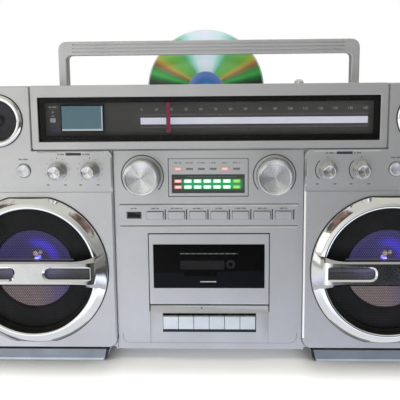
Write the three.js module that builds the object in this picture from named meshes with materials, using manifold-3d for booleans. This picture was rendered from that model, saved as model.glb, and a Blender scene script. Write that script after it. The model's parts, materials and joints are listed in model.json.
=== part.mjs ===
// Portable stereo cassette player: a boombox with a tape deck, a dial tuner, a slot-loaded disc drive, two
// woofers and two tweeters. Millimetres, +Z up. Inside this file y = 0 is the front face of the speaker
// panels, +y runs to the back, and z = 0 is the floor. The whole group is then moved so that the origin is
// at the middle of the base.
import * as THREE from "three";
import { mergeVertices } from "three/addons/utils/BufferGeometryUtils.js";
import Module from "manifold-3d";

const wasm = await Module();
wasm.setup();

// ---------------------------------------------------------------- driving dimensions

const HALF_WIDTH = 248; // cabinet, half of its width
const DEPTH = 150; // cabinet, front panel to back panel
const TOP = 262; // top face of the cabinet
const BASE_SIDE = 13; // underside of the two speaker boxes
const BASE_CENTRE = 10; // underside of the centre section
const SEAM = 80; // where the front and rear cabinet halves meet
const WALL = 3; // cabinet wall thickness
const GAP = 0.4; // clearance between neighbouring parts
const PROUD = 15; // how far the small knobs stand out of the panels
const CENTRE_HALF = 88.8; // half width of the centre section
const CENTRE_FACE = 3; // the centre panel lies this far behind the speaker panels
const CENTRE_BACK = CENTRE_FACE + WALL;

const DIAL = { half: 163.5, low: 203.7, high: 263, windowHalf: 156.2, windowLow: 211.5, windowHigh: 252.2 };
const POINTER = { x: -36.5, z: 216 };
const WOOFER = { x: 168, z: 89.5, trim: 72.3, flat: 69.7, lip: 60, hole: 62, cone: 38 };
const TWEETER = { x: 194.8, z: 231.3, trim: 24, lip: 18.5, hole: 19 };
const BIG_KNOB = { x: 61.3, z: 178.9, radius: 17.4 };
const SMALL_KNOB = { outer: 140.2, inner: 109.5, z: 184.5, radius: 8.6 };
const ROUND_BUTTON = { x: 171.5, z: 185, radius: 6.4, hole: 6.8 };
const METER = { half: 36.9, low: 159.9, high: 195, windowHalf: 33.9, windowLow: 162.8, windowHigh: 180.4 };
const ROW = { z: 142.1, pitch: 20, first: -50, count: 7, halfWidth: 7.6, halfHeight: 3.5, usb: -70 };
const DOOR = { half: 56.5, low: 54.8, high: 123.8, front: 2.2, thick: 5, hingeY: 5.8, hingeZ: 57 };
const DOOR_WINDOW = { half: 52.7, low: 71.4, high: 114.2 };
const KEYS = { count: 6, pitch: 14.67, low: 32, high: 44.5, axleY: 38, axleZ: 36 };
const KEY_OPENING = { half: KEYS.pitch * 3 + 0.6, low: 29.1, high: 45.8 };
const REEL = { x: 21.25, z: 93.3 }; // the two reel spindles are 42.5 mm apart, as a compact cassette needs
const CAPSTAN = { x: 29.5, z: 62.4 };
const DECK_FACE = 22; // front of the deck's chassis plate
const HANDLE = { half: 137.5, arm: 7.4, front: 22, back: 37, gripLow: 290.3, gripHigh: 303.1, pivotZ: 254.5 };
const WELL = { front: 21.3, back: 78, floor: 245.5, side: 0.7 };
const DISC = { x: -4.2, y: 95, z: 257.6, radius: 60, thick: 1.2, hole: 7.5, travel: 56 };
const ANTENNA = { x: 94.4, y: 120, low: 150 };
const BATTERY = { half: 127, low: 29.4, high: 104.2, front: 108, doorThick: 2.8 };
const INLET = { x: -200, z: 75 };
const FOOT = { inner: 99, outer: 240, front: -1, back: 138, high: 11.4 };

// ---------------------------------------------------------------- solids

// A three.js geometry as a manifold-3d solid, turned the right way out.
function solid(geometry) {
  const bare = geometry.index ? geometry.toNonIndexed() : geometry.clone();
  const extras = Object.keys(bare.attributes).filter((name) => name !== "position");
  for (const name of extras) bare.deleteAttribute(name);
  const merged = mergeVertices(bare, 1e-4);
  const vertProperties = merged.attributes.position.array;
  const triVerts = new Uint32Array(merged.index.array);
  const made = new wasm.Manifold(new wasm.Mesh({ numProp: 3, vertProperties, triVerts }));
  if (made.volume() > 0) return made;
  return new wasm.Manifold(new wasm.Mesh({ numProp: 3, vertProperties, triVerts: triVerts.reverse() }));
}

const join = (first, ...others) => others.reduce((sum, other) => sum.add(other), first);
const cut = (first, ...others) => others.reduce((rest, other) => rest.subtract(other), first);

// A box between two corners.
function block([x0, x1], [y0, y1], [z0, z1]) {
  const box = new THREE.BoxGeometry(x1 - x0, y1 - y0, z1 - z0);
  return solid(box.translate((x0 + x1) / 2, (y0 + y1) / 2, (z0 + z1) / 2));
}

// A closed outline whose corners are rounded off by the given radius.
function outline(points, radius = 0) {
  const shape = new THREE.Shape();
  const corners = points.map(([x, z]) => new THREE.Vector2(x, z));
  corners.forEach((corner, i) => {
    const before = corners.at(i - 1);
    const after = corners[(i + 1) % corners.length];
    const start = corner.clone().add(before.clone().sub(corner).setLength(radius));
    const end = corner.clone().add(after.clone().sub(corner).setLength(radius));
    if (i === 0) shape.moveTo(start.x, start.y);
    else shape.lineTo(start.x, start.y);
    if (radius > 0) shape.quadraticCurveTo(corner.x, corner.y, end.x, end.y);
  });
  return shape;
}

const rectangle = (x0, x1, z0, z1) => [[x0, z0], [x1, z0], [x1, z1], [x0, z1]];

// An outline in x and z, given thickness from y0 to y1.
function plate(shape, y0, y1, curveSegments = 4) {
  const geometry = new THREE.ExtrudeGeometry(shape, { depth: y1 - y0, bevelEnabled: false, curveSegments });
  return solid(geometry.rotateX(Math.PI / 2).translate(0, y1, 0));
}

// An outline in y and z, given width from x0 to x1.
function rib(shape, x0, x1, curveSegments = 4) {
  const geometry = new THREE.ExtrudeGeometry(shape, { depth: x1 - x0, bevelEnabled: false, curveSegments });
  return solid(geometry.rotateX(Math.PI / 2).rotateZ(Math.PI / 2).translate(x0, 0, 0));
}

// A body turned about a line along y through x, z. The profile is [radius, y] pairs.
function turned(profile, x, z, segments = 24) {
  const points = profile.map(([r, y]) => new THREE.Vector2(r, y));
  return solid(new THREE.LatheGeometry(points, segments).translate(x, 0, z));
}

// A body turned about an upright line through x, y. The profile is [radius, z] pairs.
function upright(profile, x, y, segments = 16) {
  const points = profile.map(([r, z]) => new THREE.Vector2(r, z));
  return solid(new THREE.LatheGeometry(points, segments).rotateX(Math.PI / 2).translate(x, y, 0));
}

// A pin or a bore along y.
const pinY = (radius, y0, y1, x, z, segments = 16) =>
  turned([[0, y0], [radius, y0], [radius, y1], [0, y1]], x, z, segments);

// A pin or a bore along x.
function pinX(radius, x0, x1, y, z, segments = 12) {
  const pin = new THREE.CylinderGeometry(radius, radius, x1 - x0, segments);
  return solid(pin.rotateZ(Math.PI / 2).translate((x0 + x1) / 2, y, z));
}

// ---------------------------------------------------------------- materials and nodes

const finish = (color, roughness, metalness) =>
  new THREE.MeshStandardMaterial({ color, roughness, metalness });
const MATERIALS = {
  silver: finish(0xb4b4b2, 0.42, 0.35),
  chrome: finish(0xdcdcd8, 0.08, 1),
  aluminium: finish(0xcfcfcb, 0.25, 0.9),
  black: finish(0x17181a, 0.5, 0),
  grille: finish(0x101114, 0.45, 0.4),
  smoked: finish(0x0c0d10, 0.05, 0),
  clear: finish(0x20211f, 0.05, 0),
  dial: finish(0x3c3b3a, 0.6, 0),
  lcd: finish(0x5d7683, 0.3, 0),
  pointer: finish(0xb03058, 0.4, 0),
  key: finish(0xdfe6e8, 0.35, 0.1),
  steel: finish(0x9a9b9c, 0.35, 0.9),
  board: finish(0x1f5a3c, 0.6, 0),
  copper: finish(0x8a5a38, 0.5, 0.6),
  disc: finish(0xcfe3df, 0.08, 0.9),
};

const player = new THREE.Group();

// Adds one named part, made of a manifold-3d solid.
function node(name, body, material) {
  const { vertProperties, triVerts, numProp, numVert } = body.getMesh();
  const position = new Float32Array(numVert * 3);
  for (let i = 0; i < numVert; i++) {
    position.set(vertProperties.subarray(i * numProp, i * numProp + 3), i * 3);
  }
  const geometry = new THREE.BufferGeometry();
  geometry.setAttribute("position", new THREE.BufferAttribute(position, 3));
  geometry.setIndex(new THREE.BufferAttribute(triVerts, 1));
  const mesh = new THREE.Mesh(geometry, MATERIALS[material]);
  mesh.name = name;
  player.add(mesh);
}

const SIDES = [["left", -1], ["right", 1]];

// ---------------------------------------------------------------- cabinet

// The cabinet's outline from the front, drawn smaller by inset all round.
function cabinetOutline(inset) {
  const side = HALF_WIDTH - inset;
  const step = CENTRE_HALF + 1.2 - inset;
  const low = BASE_SIDE + inset;
  const centreLow = BASE_CENTRE + inset;
  const high = TOP - inset;
  const left = [[-side, high], [-side, low], [-step, low], [-step, centreLow]];
  const right = [[step, centreLow], [step, low], [side, low], [side, high]];
  return outline([...left, ...right], 1.4);
}

const screwBosses = (y0, y1) =>
  [-1, 1].flatMap((side) => [26, 248].map((z) => pinY(4.5, y0, y1, side * 237, z, 8)));

// A pocket in the top face for one arm of the handle, with its two bearing walls.
function armWell(side) {
  const inner = HANDLE.half - HANDLE.arm - WELL.side;
  const outer = HANDLE.half + WELL.side;
  const span = (a, b) => (side < 0 ? [-b, -a] : [a, b]);
  const pivotY = (HANDLE.front + HANDLE.back) / 2;
  return {
    walls: block(span(inner - 2.2, outer + 2.2), [WELL.front - 2.2, SEAM], [WELL.floor - 2.5, TOP - 1]),
    pocket: block(span(inner, outer), [WELL.front, WELL.back], [WELL.floor, TOP + 1]),
    bore: pinX(3.3, ...span(inner - 3, outer + 3), pivotY, HANDLE.pivotZ),
  };
}

// A block with a blind bore for one hinge pin of the cassette door.
function doorBearing(side) {
  const span = (a, b) => (side < 0 ? [-b, -a] : [a, b]);
  return {
    lug: block(span(DOOR.half + 0.6, DOOR.half + 5), [CENTRE_FACE + 1, CENTRE_BACK + 4], [52, 62]),
    bore: pinX(1.8, ...span(DOOR.half - 1, DOOR.half + 3), DOOR.hingeY, DOOR.hingeZ),
  };
}

function frontCabinet() {
  const wells = SIDES.map(([, side]) => armWell(side));
  const bearings = SIDES.map(([, side]) => doorBearing(side));
  let body = cut(plate(cabinetOutline(0), 0, SEAM), plate(cabinetOutline(WALL), WALL, SEAM + 1));
  body = join(
    body,
    block([-CENTRE_HALF - 1, CENTRE_HALF + 1], [1, CENTRE_BACK], [BASE_CENTRE + 1, DIAL.low]),
    ...wells.map((well) => well.walls),
    ...bearings.map((bearing) => bearing.lug),
    ...screwBosses(WALL - 1, SEAM),
  );

  // The sunk centre panel, with a channel down each side of it.
  body = cut(body, block([-CENTRE_HALF, CENTRE_HALF], [-1, CENTRE_FACE], [BASE_CENTRE - 1, DIAL.low]));
  const panelHalf = CENTRE_HALF - 5.4;
  for (const [, side] of SIDES) {
    const x = side * (panelHalf + CENTRE_HALF) / 2;
    const channel = [CENTRE_FACE - 1, CENTRE_FACE + 1.4];
    body = cut(body, block([x - 2.7, x + 2.7], channel, [BASE_CENTRE - 1, DIAL.low]));
  }

  // The dial's bay, and the groove between each control strip and its speaker panel.
  body = cut(body, block([-DIAL.half, DIAL.half], [-1, 14.4], [DIAL.low, TOP + 1]));
  for (const [, side] of SIDES) {
    const x = side * (CENTRE_HALF + HALF_WIDTH) / 2;
    const half = (HALF_WIDTH - CENTRE_HALF) / 2 + 1;
    body = cut(
      body,
      block([x - half, x + half], [-1, 1.2], [164.4, 169.2]),
      pinY(WOOFER.hole, -1, WALL + 1, side * WOOFER.x, WOOFER.z, 40),
      pinY(TWEETER.hole, -1, WALL + 1, side * TWEETER.x, TWEETER.z, 24),
      pinY(4, -1, WALL + 1, side * SMALL_KNOB.outer, SMALL_KNOB.z),
      pinY(4, -1, WALL + 1, side * SMALL_KNOB.inner, SMALL_KNOB.z),
      pinY(ROUND_BUTTON.hole, -1, WALL + 1, side * ROUND_BUTTON.x, ROUND_BUTTON.z, 20),
      pinY(5, 0, CENTRE_BACK + 1, side * BIG_KNOB.x, BIG_KNOB.z),
    );
  }

  // The meter's opening, the buttons' and the USB socket's, and the two lines that frame the row.
  const through = [CENTRE_FACE - 2, CENTRE_BACK + 1];
  const seamDepth = [CENTRE_FACE - 1, CENTRE_FACE + 1];
  const meterHalf = METER.half + GAP;
  body = cut(body, block([-meterHalf, meterHalf], through, [METER.low - GAP, METER.high + GAP]));
  for (let i = 0; i < ROW.count; i++) {
    const x = ROW.first + i * ROW.pitch;
    const half = ROW.halfWidth + GAP;
    const rise = ROW.halfHeight + GAP;
    body = cut(body, block([x - half, x + half], through, [ROW.z - rise, ROW.z + rise]));
  }
  body = cut(body, block([ROW.usb - 7, ROW.usb + 7], through, [ROW.z - 3.3, ROW.z + 3.3]));
  const grooveDepth = [CENTRE_FACE - 1, CENTRE_FACE + 0.8];
  for (const z of [152.3, 131.7]) {
    body = cut(body, block([-panelHalf, panelHalf], grooveDepth, [z - 0.6, z + 0.6]));
  }

  // The cassette door's opening, the keys' opening under it, and the sloped ledge between them.
  const scoop = outline([
    [CENTRE_FACE - 1, 53.6], [CENTRE_FACE + 2.2, 53.6], [CENTRE_FACE, 46.2], [CENTRE_FACE - 1, 46.2],
  ]);
  body = cut(
    body,
    block([-DOOR.half - GAP, DOOR.half + GAP], through, [53.6, DOOR.high + GAP]),
    rib(scoop, -DOOR.half, DOOR.half),
    block([-KEY_OPENING.half, KEY_OPENING.half], through, [KEY_OPENING.low, KEY_OPENING.high]),
    ...[-DOOR.half, DOOR.half].map((x) => block([x - GAP, x + GAP], seamDepth, [9, 53.7])),
  );
  const bores = bearings.map((bearing) => bearing.bore);
  return cut(body, ...wells.flatMap((well) => [well.pocket, well.bore]), ...bores);
}

function rearCabinet() {
  const front = SEAM + GAP;
  const inside = plate(cabinetOutline(WALL), front - 1, DEPTH - WALL);
  const shell = cut(plate(cabinetOutline(0), front, DEPTH), inside);
  const { half, low, high } = BATTERY;
  const tub = block([-half - 2, half + 2], [BATTERY.front - 2, DEPTH - 1], [low - 2, high + 2]);
  const hollow = block([-half, half], [BATTERY.front, DEPTH + 1], [low, high]);
  const slot = block([DISC.x - 62.5, DISC.x + 62.5], [DISC.y - 2.5, DISC.y + 2.5], [TOP - 5, TOP + 1]);
  const bore = [[0, TOP - 5], [5.6, TOP - 5], [5.6, TOP + 1], [0, TOP + 1]];
  const antennaHole = upright(bore, ANTENNA.x, ANTENNA.y);
  const inletHole = block(
    [INLET.x - 12.4, INLET.x + 12.4], [DEPTH - 5, DEPTH + 1], [INLET.z - 7.4, INLET.z + 7.4],
  );
  return cut(join(shell, tub, ...screwBosses(front, DEPTH - 1)), hollow, slot, antennaHole, inletHole);
}

// A skid under each speaker box, with slanted ends and a narrow neck that leaves a shadow line under the box.
function foot(side) {
  const { inner, outer, front, back, high } = FOOT;
  const ends = [[inner + 3, 0], [outer - 3, 0], [outer, 3], [outer, high], [inner, high], [inner + 1.5, 4]];
  const skid = plate(outline(ends.map(([x, z]) => [side * x, z])), front, back);
  const neck = block([side * 170 - 64, side * 170 + 64], [front + 6, back - 6], [high - 1, BASE_SIDE - GAP]);
  return join(skid, neck);
}

node("front_cabinet", frontCabinet(), "silver");
node("rear_cabinet", rearCabinet(), "silver");
for (const [name, side] of SIDES) node("foot_" + name, foot(side), "silver");

// ---------------------------------------------------------------- handle

// A grip bar on two flat arms. Stub pins at the feet of the arms turn in the walls of the arm wells.
function handle() {
  const { half, arm, front, back, gripLow, gripHigh, pivotZ } = HANDLE;
  const pivotY = (front + back) / 2;
  const radius = (back - front) / 2;
  const bow = outline(
    [
      [-half, pivotZ], [-half, gripHigh], [half, gripHigh], [half, pivotZ],
      [half - arm, pivotZ], [half - arm, gripLow], [-half + arm, gripLow], [-half + arm, pivotZ],
    ],
    3.2,
  );
  let body = plate(bow, front, back);
  for (const x of [-half, half - arm]) body = join(body, pinX(radius, x, x + arm, pivotY, pivotZ, 16));
  for (const x of [-half + arm / 2, half - arm / 2]) {
    body = join(body, pinX(2.8, x - arm / 2 - 2.4, x + arm / 2 + 2.4, pivotY, pivotZ));
  }
  // Finger grooves along the front and the back of the grip.
  for (const z of [293.5, 296.7, 299.9]) {
    for (const y of [front, back]) {
      body = cut(body, block([-122, 122], [y - 0.6, y + 0.6], [z - 0.5, z + 0.5]));
    }
  }
  return body;
}

node("handle", handle(), "silver");

// ---------------------------------------------------------------- dial tuner

const DIAL_FRONT = 0.9;
const DIAL_LIP = 1.5; // thickness of the frame in front of the glass
const GLASS = { front: 2.6, back: 4.4 };
const SCALE = { half: 157, low: 210, high: 253, front: 9, back: 10.5 };

function dialFrame() {
  const { half, low, high, windowHalf, windowLow, windowHigh } = DIAL;
  return cut(
    plate(outline(rectangle(-half + GAP, half - GAP, low + GAP, high), 2.5), DIAL_FRONT, 14),
    block([-windowHalf, windowHalf], [DIAL_FRONT - 1, GLASS.front], [windowLow, windowHigh]),
    block([-160, 160], [DIAL_FRONT + DIAL_LIP, 15], [207.5, 259.6]),
  );
}

// The pointer hangs in front of the scale from a carriage that runs behind it, over its top edge.
function dialPointer() {
  const { x, z } = POINTER;
  return join(
    block([x - 1, x + 1], [5.4, 6.8], [z, 256.6]),
    block([x - 2, x + 2], [5.4, 13.6], [254, 256.6]),
    block([x - 5, x + 5], [12, 13.6], [244, 256.6]),
  );
}

node("dial_frame", dialFrame(), "silver");
node("dial_window", block([-159.5, 159.5], [GLASS.front, GLASS.back], [208, 259.2]), "clear");
const dialScale = () =>
  block([-SCALE.half, SCALE.half], [SCALE.front, SCALE.back], [SCALE.low, SCALE.high]);

node("dial_scale", dialScale(), "dial");
node("dial_pointer", dialPointer(), "pointer");
node("lcd_display", plate(outline(rectangle(-135.1, -97.2, 221.4, 244), 0.6), 5, SCALE.front - GAP), "lcd");

// ---------------------------------------------------------------- speakers

// A bevelled ring cut flat at its top and bottom, with a slotted bar across it.
function wooferTrim(side) {
  const x = side * WOOFER.x;
  const { trim, flat, lip, z } = WOOFER;
  const profile = [
    [trim, -GAP], [trim, -2], [66, -7.4], [lip + 1.6, -8.6], [lip + 0.2, -7.6], [lip, -GAP], [trim, -GAP],
  ];
  const ring = turned(profile, x, z, 40);
  const barBack = -9.5;
  const barFront = -14.5;
  const barShape = outline([
    [-68, -GAP], [-68, -5], [-60, barFront], [60, barFront], [68, -5], [68, -GAP],
    [62, -GAP], [57, barBack], [-57, barBack], [-62, -GAP],
  ]);
  const extruded = new THREE.ExtrudeGeometry(barShape, { depth: 22.8, bevelEnabled: false });
  const bar = solid(extruded.translate(x, 0, z - 11.4));
  const reach = trim + 1;
  const slot = (from, to) => plate(outline(rectangle(x + from, x + to, z - 5.4, z + 5.4), 3.6), -16, -3);
  const square = block([x - reach, x + reach], [-20, 1], [z - flat, z + flat]);
  return cut(join(ring, bar).intersect(square), slot(14.5, 58), slot(-58, -14.5));
}

// Frame ring, basket, cone and magnet of one driver, as it is bought in.
function wooferDriver(side) {
  const dustCap = [[0, 16.5], [7, 17.4], [11, 20], [12, 20.6]];
  const surround = [[33, 8], [35.5, 5.8], [WOOFER.cone, 7], [WOOFER.cone, 3.4], [68, 3.4]];
  const basket = [[68, 5.6], [50, 5.6], [46, 10], [31, 34], [31, 36]];
  const magnet = [[36, 36], [36, 50], [0, 50]];
  return turned([...dustCap, ...surround, ...basket, ...magnet], side * WOOFER.x, WOOFER.z, 24);
}

function tweeterDriver(side) {
  const dome = [[0, 1.6], [3, 2.2], [5, 4]];
  const horn = [[7, 6.4], [15, 3.2], [17.5, 3.4], [26, 3.4], [26, 5.4]];
  const magnet = [[17, 5.4], [17, 14], [13, 14], [13, 24], [0, 24]];
  return turned([...dome, ...horn, ...magnet], side * TWEETER.x, TWEETER.z, 16);
}

function tweeterTrim(side) {
  const { trim, lip, x, z } = TWEETER;
  const profile = [
    [trim, -GAP], [trim, -1.6], [trim - 1.6, -3.2], [lip + 1.2, -3.2], [lip, -1.4], [lip, -GAP], [trim, -GAP],
  ];
  return turned(profile, side * x, z, 28);
}

for (const [name, side] of SIDES) {
  node("woofer_trim_" + name, wooferTrim(side), "chrome");
  node("woofer_grille_" + name, pinY(WOOFER.hole - 0.6, 0, 3, side * WOOFER.x, WOOFER.z, 40), "grille");
  node("woofer_driver_" + name, wooferDriver(side), "black");
  node("tweeter_trim_" + name, tweeterTrim(side), "chrome");
  node("tweeter_driver_" + name, tweeterDriver(side), "black");
}

// ---------------------------------------------------------------- knobs and buttons

// A turned cap on a shaft, with a pointer line cut in its face at about eleven o'clock.
function bigKnob(side) {
  const { x, z, radius } = BIG_KNOB;
  const front = -13;
  const back = CENTRE_FACE - 0.6;
  const rim = [[radius - 1.8, front], [radius - 1, front + 0.8], [radius, -1], [radius, back]];
  const cap = turned([[0, front], ...rim, [3, back], [3, 13], [0, 13]], side * x, z, 28);
  const line = new THREE.BoxGeometry(1.6, 1.4, 9).translate(0, front, 10).rotateY(-Math.PI / 7);
  return cut(cap, solid(line.translate(side * x, 0, z)));
}

function smallKnob(x) {
  const { radius, z } = SMALL_KNOB;
  const cap = [[0, -PROUD], [6.2, -PROUD], [7, 0.8 - PROUD], [8.1, -3], [radius, -0.6]];
  return turned([...cap, [2.5, -0.6], [2.5, 9], [0, 9]], x, z, 16);
}

function roundButton(side) {
  const { radius, x, z } = ROUND_BUTTON;
  const cap = [[0, -2.5], [radius - 0.8, -2.5], [radius, -1.8], [radius, 3.5]];
  return turned([...cap, [8, 3.5], [8, 5], [0, 5]], side * x, z, 16);
}

function functionButton(i) {
  const x = ROW.first + i * ROW.pitch;
  const sized = (w, h, y) => block([x - w, x + w], y, [ROW.z - h, ROW.z + h]);
  return join(
    sized(ROW.halfWidth, ROW.halfHeight, [1.2, 7]),
    sized(ROW.halfWidth + 1.4, ROW.halfHeight + 1.3, [CENTRE_BACK + GAP, 8]),
    sized(2, 2, [7.5, 11]),
  );
}

node("volume_knob", bigKnob(-1), "aluminium");
node("tuning_knob", bigKnob(1), "aluminium");
node("bass_knob", smallKnob(-SMALL_KNOB.outer), "chrome");
node("treble_knob", smallKnob(-SMALL_KNOB.inner), "chrome");
node("balance_knob", smallKnob(SMALL_KNOB.inner), "chrome");
node("echo_knob", smallKnob(SMALL_KNOB.outer), "chrome");
node("power_button", roundButton(-1), "aluminium");
node("band_button", roundButton(1), "aluminium");
["mode", "play", "stop", "skip_back", "skip_forward", "program", "repeat"].forEach((name, i) =>
  node(name + "_button", functionButton(i), "silver"),
);

// A USB-A socket: a metal shell with a tongue inside it.
function usbSocket() {
  const sized = (w, h, y) => block([ROW.usb - w, ROW.usb + w], y, [ROW.z - h, ROW.z + h]);
  const tongue = block([ROW.usb - 5.6, ROW.usb + 5.6], [5, 17], [ROW.z - 1.9, ROW.z - 0.1]);
  return join(cut(sized(6.6, 2.9, [3.4, 17.5]), sized(6.1, 2.4, [2, 16.5])), tongue);
}

function meterPanel() {
  const face = outline(rectangle(-METER.half, METER.half, METER.low, METER.high), 0.8);
  const window = block([-METER.windowHalf, METER.windowHalf], [2, 4.4], [METER.windowLow, METER.windowHigh]);
  return cut(plate(face, CENTRE_FACE + 0.5, CENTRE_BACK + 2), window);
}

node("usb_socket", usbSocket(), "steel");
node("meter_panel", meterPanel(), "silver");

// ---------------------------------------------------------------- cassette door and keys

// The door turns on two stub pins at its foot. Side rails behind it hold the cassette.
function cassetteDoor() {
  const { half, low, high, front, thick, hingeY, hingeZ } = DOOR;
  const section = new THREE.Shape();
  section.moveTo(front, high);
  section.lineTo(front, low + 2);
  section.quadraticCurveTo(front, low, front + 2, low);
  section.lineTo(front + thick, low);
  section.lineTo(front + thick, high);
  const rails = [-1, 1].map((side) => block([side * 53.3 - 1, side * 53.3 + 1], [front + 4, 18], [60, 108]));
  return cut(
    join(rib(section, -half, half), ...rails, pinX(1.5, -half - 2, half + 2, hingeY, hingeZ)),
    block([-DOOR_WINDOW.half, DOOR_WINDOW.half], [0, 10], [DOOR_WINDOW.low, DOOR_WINDOW.high]),
    block([-52.3, 52.3], [5.4, 10], [58.6, high + 1]),
  );
}

const doorWindow = () =>
  block(
    [-DOOR_WINDOW.half + GAP, DOOR_WINDOW.half - GAP], [2.6, 5],
    [DOOR_WINDOW.low + GAP, DOOR_WINDOW.high - GAP],
  );

// A piano key: a flat cap on a lever that turns on the axle behind it.
function tapeKey(i) {
  const { pitch, low, high, axleY, axleZ, count } = KEYS;
  const x = (i - (count - 1) / 2) * pitch;
  const half = pitch / 2 - 0.2;
  return cut(
    join(
      block([x - half, x + half], [-2.4, 2], [low, high]),
      block([x - 2, x + 2], [1, axleY], [axleZ - 2.5, axleZ + 2.5]),
      pinX(3.6, x - 3, x + 3, axleY, axleZ),
    ),
    pinX(1.9, x - 4, x + 4, axleY, axleZ),
  );
}

node("cassette_door", cassetteDoor(), "silver");
node("cassette_window", doorWindow(), "smoked");
["pause", "stop_eject", "fast_forward", "rewind", "play", "record"].forEach((name, i) =>
  node(name + "_key", tapeKey(i), "key"),
);

// ---------------------------------------------------------------- tape deck

// The chassis plate, with side walls beside the cassette and two cheeks that carry the keys' axle.
function cassetteDeck() {
  const back = DECK_FACE + 2;
  const cheeks = [-1, 1].map((side) => {
    const span = (a, b) => (side < 0 ? [-b, -a] : [a, b]);
    return join(
      block(span(58.6, 60), [10, back], [66, 128]),
      block(span(46.6, 60), [DECK_FACE, back], [29, 48]),
      block(span(46.6, 48.2), [DECK_FACE, 44], [29, 44]),
    );
  });
  const sheet = block([-60, 60], [DECK_FACE, back], [47, 128]);
  const holes = [-REEL.x, REEL.x].map((x) => pinY(2.4, 20, 26, x, REEL.z));
  const axle = pinX(1.4, -47.5, 47.5, KEYS.axleY, KEYS.axleZ);
  return cut(join(sheet, ...cheeks, axle), ...holes, pinY(2.4, 20, 26, CAPSTAN.x, CAPSTAN.z));
}

// A reel spindle: a crown with three drive lugs, a flange, and a pulley behind the chassis.
function reelSpindle(x) {
  const crown = [[0, 12], [2.2, 12], [4.2, 14], [4.2, 19.6], [9, 19.6], [9, 21.4]];
  const pulley = [[1.9, 21.4], [1.9, 26], [12, 26], [12, 29], [0, 29]];
  const lugs = [0, 1, 2].map((i) => {
    const lug = new THREE.BoxGeometry(1.2, 5, 1.6).translate(0, 16.8, 4.5).rotateY((i * 2 * Math.PI) / 3);
    return solid(lug.translate(x, 0, REEL.z));
  });
  return join(turned([...crown, ...pulley], x, REEL.z, 14), ...lugs);
}

const capstanFlywheel = () =>
  turned([[0, 11.5], [1.3, 11.5], [1.3, 30], [17, 30], [17, 38], [0, 38]], CAPSTAN.x, CAPSTAN.z, 20);

// The sliding head plate with its head, and the pinch roller under the capstan.
const tapeHead = () =>
  join(
    block([-24, 40], [20.2, 21.6], [47.6, 57]),
    block([-6.5, 6.5], [12, 21], [49, 58]),
    pinY(4.4, 12, 21, CAPSTAN.x, 52.2, 14),
  );

// The motor, on a flange with two posts, with its pulley in line with the flywheel.
function deckMotor() {
  const x = -42;
  const z = 66;
  return join(
    pinY(14, 40, 63, x, z, 20),
    block([x - 16, x + 16], [38.4, 40.5], [z - 12, z + 12]),
    pinY(3.4, 31, 39, x, z),
    ...[-12, 12].map((dx) => pinY(2, DECK_FACE + 2.4, 39, x + dx, z + 8, 8)),
  );
}

node("cassette_deck", cassetteDeck(), "steel");
node("supply_spindle", reelSpindle(-REEL.x), "black");
node("take_up_spindle", reelSpindle(REEL.x), "black");
node("capstan_flywheel", capstanFlywheel(), "steel");
node("tape_head", tapeHead(), "steel");
node("deck_motor", deckMotor(), "steel");

// ---------------------------------------------------------------- disc drive

function discDrive() {
  const { x, y, z, travel } = DISC;
  const bottom = 124;
  const high = 256;
  const hubZ = z - travel;
  const recess = (y0, y1) => block([x - 52, x + 52], [y0, y1], [bottom + 12, high - 12]);
  const carcass = cut(
    block([x - 65, x + 65], [y - 9, y + 9], [bottom, high]),
    block([x - 62.3, x + 62.3], [y - 2, y + 2], [bottom + 3, high + 1]),
    recess(y - 10, y - 4),
    recess(y + 4, y + 10),
  );
  return join(carcass, pinY(13, y + 1.5, y + 9, x, hubZ, 20));
}

function compactDisc() {
  const { x, y, z, radius, thick, hole } = DISC;
  const front = y - thick / 2;
  const back = y + thick / 2;
  return turned([[hole, front], [radius, front], [radius, back], [hole, back], [hole, front]], x, z, 48);
}

node("disc_drive", discDrive(), "black");
node("compact_disc", compactDisc(), "disc");

// ---------------------------------------------------------------- antenna, in three telescoping sections

function antennaSections() {
  const { x, y, low } = ANTENNA;
  const tube = (outer, inner, z0, z1) =>
    upright([[0, z0], [outer, z0], [outer, z1], [inner, z1], [inner, z0 + 1.5], [0, z0 + 1.5]], x, y);
  const rod = [[0, low + 4], [2.6, low + 4], [2.6, 260], [4.9, 260.2], [4.9, 264.4], [3.6, 266], [0, 266.6]];
  node("antenna_sleeve", tube(5.2, 4.4, low, 259.6), "steel");
  node("antenna_middle", tube(4, 3.1, low + 2, 258.8), "chrome");
  node("antenna_tip", upright(rod, x, y), "chrome");
}

antennaSections();

// ---------------------------------------------------------------- power and electronics

// The battery door turns out on its lower edge, which is rounded.
function batteryDoor() {
  const { half, low, high, doorThick } = BATTERY;
  const front = DEPTH - doorThick;
  const z = low + GAP;
  const lowEdge = [[front, z + 0.9], [front + 0.9, z], [DEPTH - 0.9, z], [DEPTH, z + 0.9]];
  const section = outline([...lowEdge, [DEPTH, high - GAP], [front, high - GAP]]);
  return rib(section, -half + GAP, half - GAP);
}

function mainBoard() {
  const parts = [
    [[40, 74], [68, 78], [44, 84]],
    [[-70, -52], [69, 77], [90, 108]],
    [[-30, -6], [69, 73], [40, 64]],
    [[10, 22], [69, 80], [96, 108]],
  ];
  return join(block([-84, 84], [68, 69.6], [24, 120]), ...parts.map(([x, y, z]) => block(x, y, z)));
}

const transformer = () =>
  join(block([-228, -178], [100, 120], [17, 59]), block([-218, -188], [90, 130], [25, 51]));

// A two-pin mains inlet set flush in the back panel.
function mainsInlet() {
  const { x, z } = INLET;
  const socket = plate(outline(rectangle(x - 8, x + 8, z - 4.5, z + 4.5), 3), DEPTH - 14, DEPTH + 1);
  const pins = [-4.3, 4.3].map((dx) => pinY(1.2, DEPTH - 15, DEPTH - 3, x + dx, z, 10));
  return join(cut(block([x - 12, x + 12], [DEPTH - 18, DEPTH - 0.2], [z - 7, z + 7]), socket), ...pins);
}

node("battery_door", batteryDoor(), "silver");
node("main_board", mainBoard(), "board");
node("transformer", transformer(), "copper");
node("mains_inlet", mainsInlet(), "black");

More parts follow.
